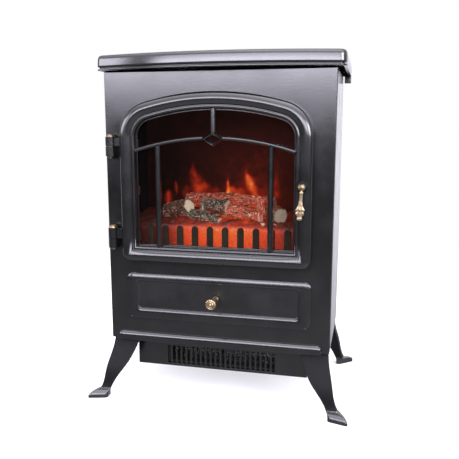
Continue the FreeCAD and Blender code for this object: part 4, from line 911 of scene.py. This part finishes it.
def round_poly(poly, r, n=5):
    """Rounds the corners of a convex polygon."""
    out = []
    p = [np.array(v, float) for v in poly]
    for i in range(len(p)):
        a, b, c = p[i - 1], p[i], p[(i + 1) % len(p)]
        u, v = (a - b) / np.linalg.norm(a - b), (c - b) / np.linalg.norm(c - b)
        k = min(r, np.linalg.norm(a - b) * 0.45, np.linalg.norm(c - b) * 0.45)
        s0, s1 = b + u * k, b + v * k
        for t in np.linspace(0, 1, n):
            out.append((1 - t) ** 2 * s0 + 2 * t * (1 - t) * b + t * t * s1)
    return np.array(out)


def leg(name, sx, rear, reps):
    s = np.array(SEC, float)[::-1]
    zs = np.linspace(13, 94.95, 44)
    cols = []
    for col in range(1, 5):
        c = crv(np.column_stack([s[:, 0], s[:, col]]), 8)
        cols.append(np.interp(zs, c[:, 0], c[:, 1]))
    xi, xo, yf, yb = cols

    def section(i):
        ti = float(np.interp(zs[i], [30, 45], [4, 7]))
        return round_poly([(xi[i], yf[i]), (xo[i], yf[i]), (xo[i] - 1.5, yb[i]), (xi[i] + ti, yb[i])], 2.6)

    rows = [np.column_stack([section(i), np.full(20, z)]) for i, z in enumerate(zs)]
    top = rows[0][:, :2]
    # the foot: the section turns into a pointed spade lying on the floor
    sole = round_poly([(176.2, -24.5), (184.5, -30.0), (206.8, -34.0), (206.4, -29.5), (184.0, -10.5), (177.5, -9.0)], 2.0, 4)
    ang = lambda q, c: np.arctan2(q[:, 1] - c[1], q[:, 0] - c[0])
    c1 = np.array([187.5, -20.5])
    # match the sole's outline to the section's corners by arc length from the inner front corner
    def lengths(q):
        w = np.vstack([q, q[:1]])
        return w, np.concatenate([[0], np.cumsum(np.linalg.norm(np.diff(w, axis=0), axis=1))])
    wsole, L = lengths(sole)
    # corner places along the sole: inner front, outer front (toe), outer back, inner back
    marks = [0.0]
    for target in ((206.8, -34.0), (206.4, -29.5), (177.5, -9.0), (176.2, -24.5)):
        k = int(np.argmin(np.linalg.norm(sole - np.array(target), axis=1)))
        marks.append(L[k] if target != (176.2, -24.5) else L[-1])
    wt, LT = lengths(top)
    cm = [0.0]
    for target in ((xo[0], yf[0]), (xo[0] - 1.5, yb[0]), (xi[0] + 4, yb[0])):
        k = int(np.argmin(np.linalg.norm(top - np.array(target), axis=1)))
        cm.append(LT[k])
    cm.append(LT[-1])
    u = np.interp(LT[:-1], cm, marks)
    so = np.column_stack([np.interp(u, L, wsole[:, 0]), np.interp(u, L, wsole[:, 1])])
    foot = []
    for t, z in ((0.0, 0.0), (0.0, 0.5), (0.0, 3.9), (0.015, 4.9), (0.10, 6.9), (0.26, 9.0), (0.46, 10.6), (0.68, 11.7), (0.88, 12.4)):
        xy = so * (1 - t) + top * t
        if z == 0.0:
            xy = c1 + (xy - c1) * 0.97
        foot.append(np.column_stack([xy, np.full(20, z)]))
    m = Mesh()
    res = []
    for ring in foot + rows:
        ring = ring.copy()
        if rear:
            ring[:, 1] = 190 - ring[:, 1]
        ring[:, 0] *= sx
        res.append(ring)
    m.rings(res, cap0=True, cap1=True)
    # boss for the two screws, hidden behind the blade under the cabinet's floor
    fl = round_poly([(142, 18), (170, 18), (170, 46), (142, 46)], 3.0)
    if rear:
        fl[:, 1] = 190 - fl[:, 1]
    fl[:, 0] *= sx
    m.rings([[(q[0], q[1], z) for q in fl] for z in (82.0, 94.9)], cap0=True, cap1=True)
    ob = m.add(name + "_cast", "leg", "cabinet", reps=[reps], slot="leg_black", angle=34)
    ob.data.materials.append(MAT["leg_foot"])
    for poly in ob.data.polygons:
        if poly.center.z < 0.0145:
            poly.material_index = 1


for sx, rear, nm in ((-1, 0, "front_leg_left"), (1, 0, "front_leg_right"), (-1, 1, "rear_leg_left"), (1, 1, "rear_leg_right")):
    leg(nm, sx, rear, nm)

# ============================================================ outlet front and heater
m = Mesh()
slots = []
for k in range(22):
    xc = -8.25 * 10.5 + 8.25 * k
    slots.append(rrect(xc - 2.5, xc + 2.5, 48, 79, 1.2, 4))
plate(m, rrect(-140, 140, 44, 94.95, 1.5, 5), slots, 25.0, 26.5, 0.6, 0.45, 2)
m.add("outlet_grille_plate", "coat", "cabinet", reps=["outlet_grille"], slot="powder_black", angle=50)


def helix(x0, x1, y, z, r, wire, pitch):
    turns = (x1 - x0) / pitch
    n = int(turns * 12)
    m = Mesh()
    rings = []
    for i in range(n + 1):
        t = i / n
        a = t * turns * 2 * math.pi
        c = np.array([x0 + (x1 - x0) * t, y + r * math.cos(a), z + r * math.sin(a)])
        tan = np.array([pitch / (2 * math.pi), -r * math.sin(a), r * math.cos(a)])
        tan /= np.linalg.norm(tan)
        u = np.array([0, math.cos(a), math.sin(a)])
        v = np.cross(tan, u)
        rings.append([c + wire * (u * math.cos(b) + v * math.sin(b)) for b in np.linspace(0, 2 * math.pi, 6, endpoint=False)])
    m.rings(rings, cap0=True, cap1=True)
    return m


rows = [(55.5, 39), (65, 39), (74.5, 39), (60.2, 47), (69.8, 47)]
hm = Mesh()
for z, y in rows:
    h = helix(-86.5, 86.5, y, z, 3.3, 0.45, 3.6)
    k = len(hm.v)
    hm.v += h.v
    hm.f += [tuple(i + k for i in f) for f in h.f]
hm.add("heater_coils_wound", "coil", "cabinet", reps=["heater_coils"], slot="heater_wire", angle=80)

# ============================================================ fire: screen, ember bed, logs, grate


def teardrop(x, z, cx, z0, z1, w, lean=0.0, power=1.0):
    """Soft flame tongue: full near its foot, leaning and fading into its tip."""
    t = (z - z0) / (z1 - z0)
    tt = np.clip(t, 0, 1)
    half = w * (0.45 + 1.15 * np.sin(np.pi * np.clip(tt * 0.85 + 0.12, 0, 1)) ** 0.8) * (1.0 - 0.45 * tt)
    d = (x - cx - lean * tt ** 1.4) / np.maximum(half, 0.5)
    over = np.clip(t - 0.72, 0, 2) / 0.30
    under = np.clip(0.12 - t, 0, 2) / 0.30
    return power * np.exp(-np.abs(d) ** 1.9) * np.exp(-over ** 2) * np.exp(-under ** 2)


def fbm(x, y, z, s, octaves=3):
    out = np.zeros(len(x))
    amp = 1.0
    for o in range(octaves):
        out += amp * np.array([noise.noise(Vector((a * s, b * s, c * s))) for a, b, c in zip(x, y, z)])
        s *= 2.0
        amp *= 0.5
    return out


nx, nz = 150, 136
gx, gz = np.meshgrid(np.linspace(-149.5, 149.5, nx), np.linspace(212.5, 483.5, nz), indexing="ij")
X, Z = gx.ravel(), gz.ravel()
wob = fbm(X, np.zeros(len(X)), Z, 0.035, 2)
Xw, Zw = X + 5.0 * wob, Z + 4.0 * fbm(X, np.full(len(X), 9.0), Z, 0.03, 2)
glow = 0.09 + 0.135 * np.exp(-((X - 34) / 82.0) ** 2 - ((Z - 350) / 64.0) ** 2) + 0.03 * np.exp(-((X - 60) / 60.0) ** 2 - ((Z - 400) / 60.0) ** 2)
glow += 0.016 * fbm(X, np.full(len(X), 4.0), Z, 0.012, 2)
near = np.clip((344 - Z) / 40.0, 0, 1)
glow += 0.20 * near * np.exp(-((X - 22) / 66.0) ** 2) + 0.12 * near * np.exp(-((X + 62) / 26.0) ** 2)
for cx, z0, z1, w, lean, p in ((-60, 328, 366, 8.5, -7, 0.34), (-52, 318, 342, 9, 4, 0.22), (-113, 306, 327, 5.4, 1, 0.40), (-97, 324, 341, 2.8, -3, 0.36),
                               (-82, 318, 336, 5, 2, 0.20), (-6.5, 322, 347, 2.4, 0, 0.62), (-2, 318, 336, 5.5, 2, 0.36), (31, 331, 359, 6.6, -3, 0.52), (40, 318, 342, 5.0, -4, 0.36),
                               (76, 322, 356, 4.6, -2, 0.20), (58, 316, 336, 8, 0, 0.16), (12, 316, 334, 7, 0, 0.18), (-30, 316, 334, 8, 0, 0.14), (31, 338, 355, 4.0, -2, 0.26)):
    glow = np.maximum(glow, 0.0) + teardrop(Xw, Zw, cx, z0, z1, w, lean, p)
glow = np.clip(glow, 0.02, 1.0)
v = [(x, 108.2, z) for x, z in zip(X, Z)]
f = []
for i in range(nx - 1):
    for j in range(nz - 1):
        a = i * nz + j
        f.append((a, a + 1, a + nz + 1, a + nz))
k = len(v)
per = [(i * nz) for i in range(nx)] + [((nx - 1) * nz + j) for j in range(1, nz)] + [(i * nz + nz - 1) for i in range(nx - 2, -1, -1)] + [j for j in range(nz - 2, 0, -1)]
back = [(v[i][0], 111.2, v[i][2]) for i in per]
v += back
for i in range(len(per)):
    j = (i + 1) % len(per)
    f.append((per[i], per[j], k + j, k + i))
f.append(tuple(range(k, k + len(per))))
g2 = np.concatenate([glow, np.full(len(per), 0.1)])
scr = add("flame_screen_lit", v, f, "screen", "cabinet", reps=["flame_screen"], slot="screen_sheet", weld=False, attrs={"glow": g2}, angle=60)

# ember bed: lit front wall and a lumpy top that climbs to the back
nx, ns = 190, 64
xs_ = np.linspace(-147.4, 147.4, nx)
path = [(19.0, 249.0), (19.0, 252), (19.0, 262), (19.0, 270), (19.4, 276), (21.5, 281), (26, 284.5), (34, 287), (48, 289), (66, 291), (86, 293.2), (106.5, 294.5)]
pp = crv(path, 8)
L = np.concatenate([[0], np.cumsum(np.linalg.norm(np.diff(pp, axis=0), axis=1))])
tt = np.linspace(0, L[-1], ns)
py, pzz = np.interp(tt, L, pp[:, 0]), np.interp(tt, L, pp[:, 1])
XX, II = np.meshgrid(xs_, np.arange(ns), indexing="ij")
X = XX.ravel()
Y = py[II].ravel()
Z = pzz[II].ravel()
lump = fbm(X, Y, Z, 0.085, 3)
amt = np.clip((Z - 276) / 8.0, 0, 1)
Zl = Z + np.clip(lump, -0.7, 0.9) * 4.5 * amt
Yl = Y + 0.0
wallf = np.clip((282 - Z) / 4.0, 0, 1)
g = 0.80 * np.exp(-(np.abs(X - 18) / 82.0) ** 2.6) + 0.20 * np.exp(-((X + 58) / 26.0) ** 2) + 0.10
g = np.clip(g, 0, 0.86)
vert = np.clip((Z - 249) / 34.0, 0, 1)
gw = g * (0.80 + 0.26 * vert) + 0.04 * fbm(X, Y * 0, Z * 0.3, 0.05, 2)
gt = g * (0.46 + 0.42 * np.clip(-lump, -0.7, 0.8))
gl = wallf * gw + (1 - wallf) * gt
gl = np.clip(gl, 0.0, 1.0)
v = [tuple(p) for p in np.column_stack([X, Yl, Zl])]
f = []
for i in range(nx - 1):
    for j in range(ns - 1):
        a = i * ns + j
        f.append((a, a + 1, a + ns + 1, a + ns))
k = len(v)
v += [(x, 106.5, 249.0) for x in xs_]
for i in range(nx - 1):
    f.append((i * ns + ns - 1, k + i, k + i + 1, (i + 1) * ns + ns - 1))
    f.append((k + i, i * ns, (i + 1) * ns, k + i + 1))
f.append(tuple([j for j in range(ns)] + [k]))
f.append(tuple([(nx - 1) * ns + j for j in range(ns)] + [k + nx - 1]))
ge = np.concatenate([gl, np.full(nx, 0.2)])
add("ember_bed_moulded", v, f, "ember", "cabinet", reps=["ember_bed"], slot="ember_resin", weld=False, attrs={"glow": ge}, angle=70)


def log_piece(name, p0, p1, r0, r1, seed, glow=0.0, glow_dir=None, ends=(1, 1), ripple=0.12, squash=1.0, bend=0.0, peel=0.0, first=False):
    """A moulded log: bark ridges, knots and slightly uneven cut ends."""
    p0, p1 = np.array(p0, float), np.array(p1, float)
    ax = p1 - p0
    Ln = np.linalg.norm(ax)
    ax /= Ln
    up = np.array([0, 0, 1.0]) if abs(ax[2]) < 0.9 else np.array([0, 1.0, 0])
    u = np.cross(up, ax)
    u /= np.linalg.norm(u)
    w = np.cross(ax, u)
    n, ml = 72, max(20, int(Ln / 1.3))
    verts, tone, glw, bark = [], [], [], []
    cut = 5
    stations = [(-1, k) for k in range(cut)] + [(0, i) for i in range(ml + 1)] + [(1, k) for k in range(cut - 1, -1, -1)]
    rings = []
    for kind, i in stations:
        if kind == 0:
            t, rs = i / ml, 1.0
        elif kind == -1:
            t, rs = 0.0, (i + 0.02) / cut
        else:
            t, rs = 1.0, (i + 0.02) / cut
        r = r0 + (r1 - r0) * t
        c = p0 + ax * Ln * t + w * bend * math.sin(math.pi * t) * Ln
        for k in range(n):
            a = 2 * math.pi * k / n
            ca, sa = math.cos(a), math.sin(a)
            q = Vector((ca * 1.6 + seed, sa * 1.6, t * Ln * 0.035 + seed * 2))
            q2 = Vector((ca * 4.2 + seed * 3, sa * 4.2, t * Ln * 0.055 + seed))
            d = 1 + ripple * 0.9 * noise.noise(q) + ripple * 0.9 * noise.noise(q2) + 0.04 * noise.noise(q2 * 3.1)
            rad = r * rs * d
            roundoff = 1.0
            pos = c + (u * ca * squash + w * sa) * rad
            if kind != 0:
                dish = 0.9 * noise.noise(Vector((ca * rs * 2.2 + seed, sa * rs * 2.2, seed * 5)))
                pos = pos + ax * (dish if kind == 1 else -dish) * 1.2
            verts.append(pos)
            isend = 1.0 if (kind == -1 and ends[0]) or (kind == 1 and ends[1]) else 0.0
            pl = max(0.0, noise.noise(Vector((ca * 1.3 + seed * 7, sa * 1.3, t * Ln * 0.05))) - 0.15) * 3.0 * peel
            tone.append(min(1.0, isend + pl))
            gd = 1.0
            if glow_dir is not None:
                nrm = (u * ca + w * sa)
                gd = max(0.0, float(np.dot(nrm, glow_dir))) ** 0.7
            glw.append(0.0 if isend else glow * gd)
            bark.append((t * Ln * 0.012 + seed, ca * 0.35, sa * 0.35))
        rings.append(list(range(len(verts) - n, len(verts))))
    faces = []
    for a, b in zip(rings[:-1], rings[1:]):
        for k in range(n):
            j = (k + 1) % n
            faces.append((a[k], a[j], b[j], b[k]))
    faces.append(tuple(rings[0]))
    faces.append(tuple(rings[-1]))
    return add(name, verts, faces, "log", "cabinet", reps=["log_set"], slot="log_resin", weld=False,
               attrs={"tone": tone, "glow": glw, "bark": np.array(bark)}, angle=55)


fwdglow = np.array([0, -0.6, -0.8])
log_piece("log_left", (-97, 60, 297), (-54, 40, 308), 12.5, 12.0, 1.3, 0.22, None, (0, 1), 0.24, 1.0, 0.02)
log_piece("log_back", (-72, 88, 312), (78, 76, 309), 11.5, 12.5, 4.7, 0.75, None, (1, 1), 0.20, 1.0, 0.02)
log_piece("log_front_low", (-64, 47, 297), (-2, 31, 287), 9.5, 7.6, 7.1, 0.50, fwdglow, (0, 1), 0.22)
log_piece("log_mid", (-36, 62, 305), (6, 52, 307), 12.5, 11.5, 9.4, 0.40, fwdglow, (1, 1), 0.22)
log_piece("log_stub", (-31, 45, 298), (-33, 55, 320), 3.6, 4.2, 2.2, 0.2, None, (1, 1), 0.26, 1.0, 0.0, 1.0)
log_piece("log_right_long", (-12, 60, 303), (66, 46, 293), 10.5, 10.0, 12.9, 1.0, None, (1, 1), 0.24)
log_piece("log_upper_right", (-10, 78, 318), (58, 64, 315), 8.0, 9.0, 15.2, 0.9, None, (1, 1), 0.26)
log_piece("log_standing", (61, 40, 287), (60, 52, 320), 6.6, 6.2, 17.7, 0.95, None, (1, 1), 0.22, 1.0, 0.0, 0.5)
log_piece("log_right_end", (66, 66, 304), (93.5, 31, 298.5), 10.5, 12.4, 21.3, 0.5, None, (0, 1), 0.16)
log_piece("log_twig", (72, 44, 283), (67, 27, 284), 3.6, 4.4, 25.1, 0.2, None, (1, 1), 0.3, 1.0, 0.0, 0.8)
log_piece("log_twig_right", (80, 46, 285), (86, 27, 283), 3.4, 4.0, 27.6, 0.1, None, (1, 1), 0.3, 1.0, 0.0, 0.6)

# grate: flat fingers with rounded tops and a rail
m = Mesh()
for k in range(12):
    xc = -24 * 5.5 + 24 * k
    lp_ = [(xc - 5, 243), (xc + 5, 243)] + arc(xc, 277, 5, 0, 180, 11)
    plate(m, lp_, [], 7.0, 10.5, 0.9, seg=3)
plate(m, rrect(-138, 138, 236, 248, 1.0, 3), [], 6.9, 10.6, 0.8, seg=2)
m.add("grate_cast", "grate", "cabinet", reps=["grate"], slot="cast_black", angle=50)

# ============================================================ finishes for the CAD nodes that show as they are
FIN = {
    "coat": ["side_panel_left", "side_panel_right", "back_cover", "lamp_cover", "door_knuckles", "cabinet_knuckles", "flap_lugs", "outlet_housing"],
    "inner": ["firebox_liner"],
    "steel": ["base_pan", "glass_clips", "strike_plate", "flap_pins", "blower_scroll", "blower_motor", "thermal_cutout", "spinner_bracket", "spinner_motor"],
    "alu": ["blower_drum", "flame_spinner", "flame_reflector"],
    "brass_cap": ["hinge_pins"],
    "brass": ["handle_pin"],
    "glass": ["door_glass"],
    "lampglass": ["lamps"],
    "bplastic": ["door_magnet", "control_bay", "switch_cases", "thermostat_knob", "thermostat_body", "lamp_holders", "cable_inlet", "terminal_block"],
    "rocker": ["rocker_flame", "rocker_low_heat", "rocker_high_heat"],
    "mica": ["heater_frame"],
    "rubber": ["blower_bearing"],
    "screw": ["leg_screws", "cover_screws"],
}
for mk, names in FIN.items():
    for nm in names:
        ob = nodes[nm]
        ob.data.materials.clear()
        ob.data.materials.append(MAT[mk])
        for poly in ob.data.polygons:
            poly.material_index = 0
        ob.data.shade_smooth()
        ob.data.set_sharp_from_angle(angle=math.radians(30))
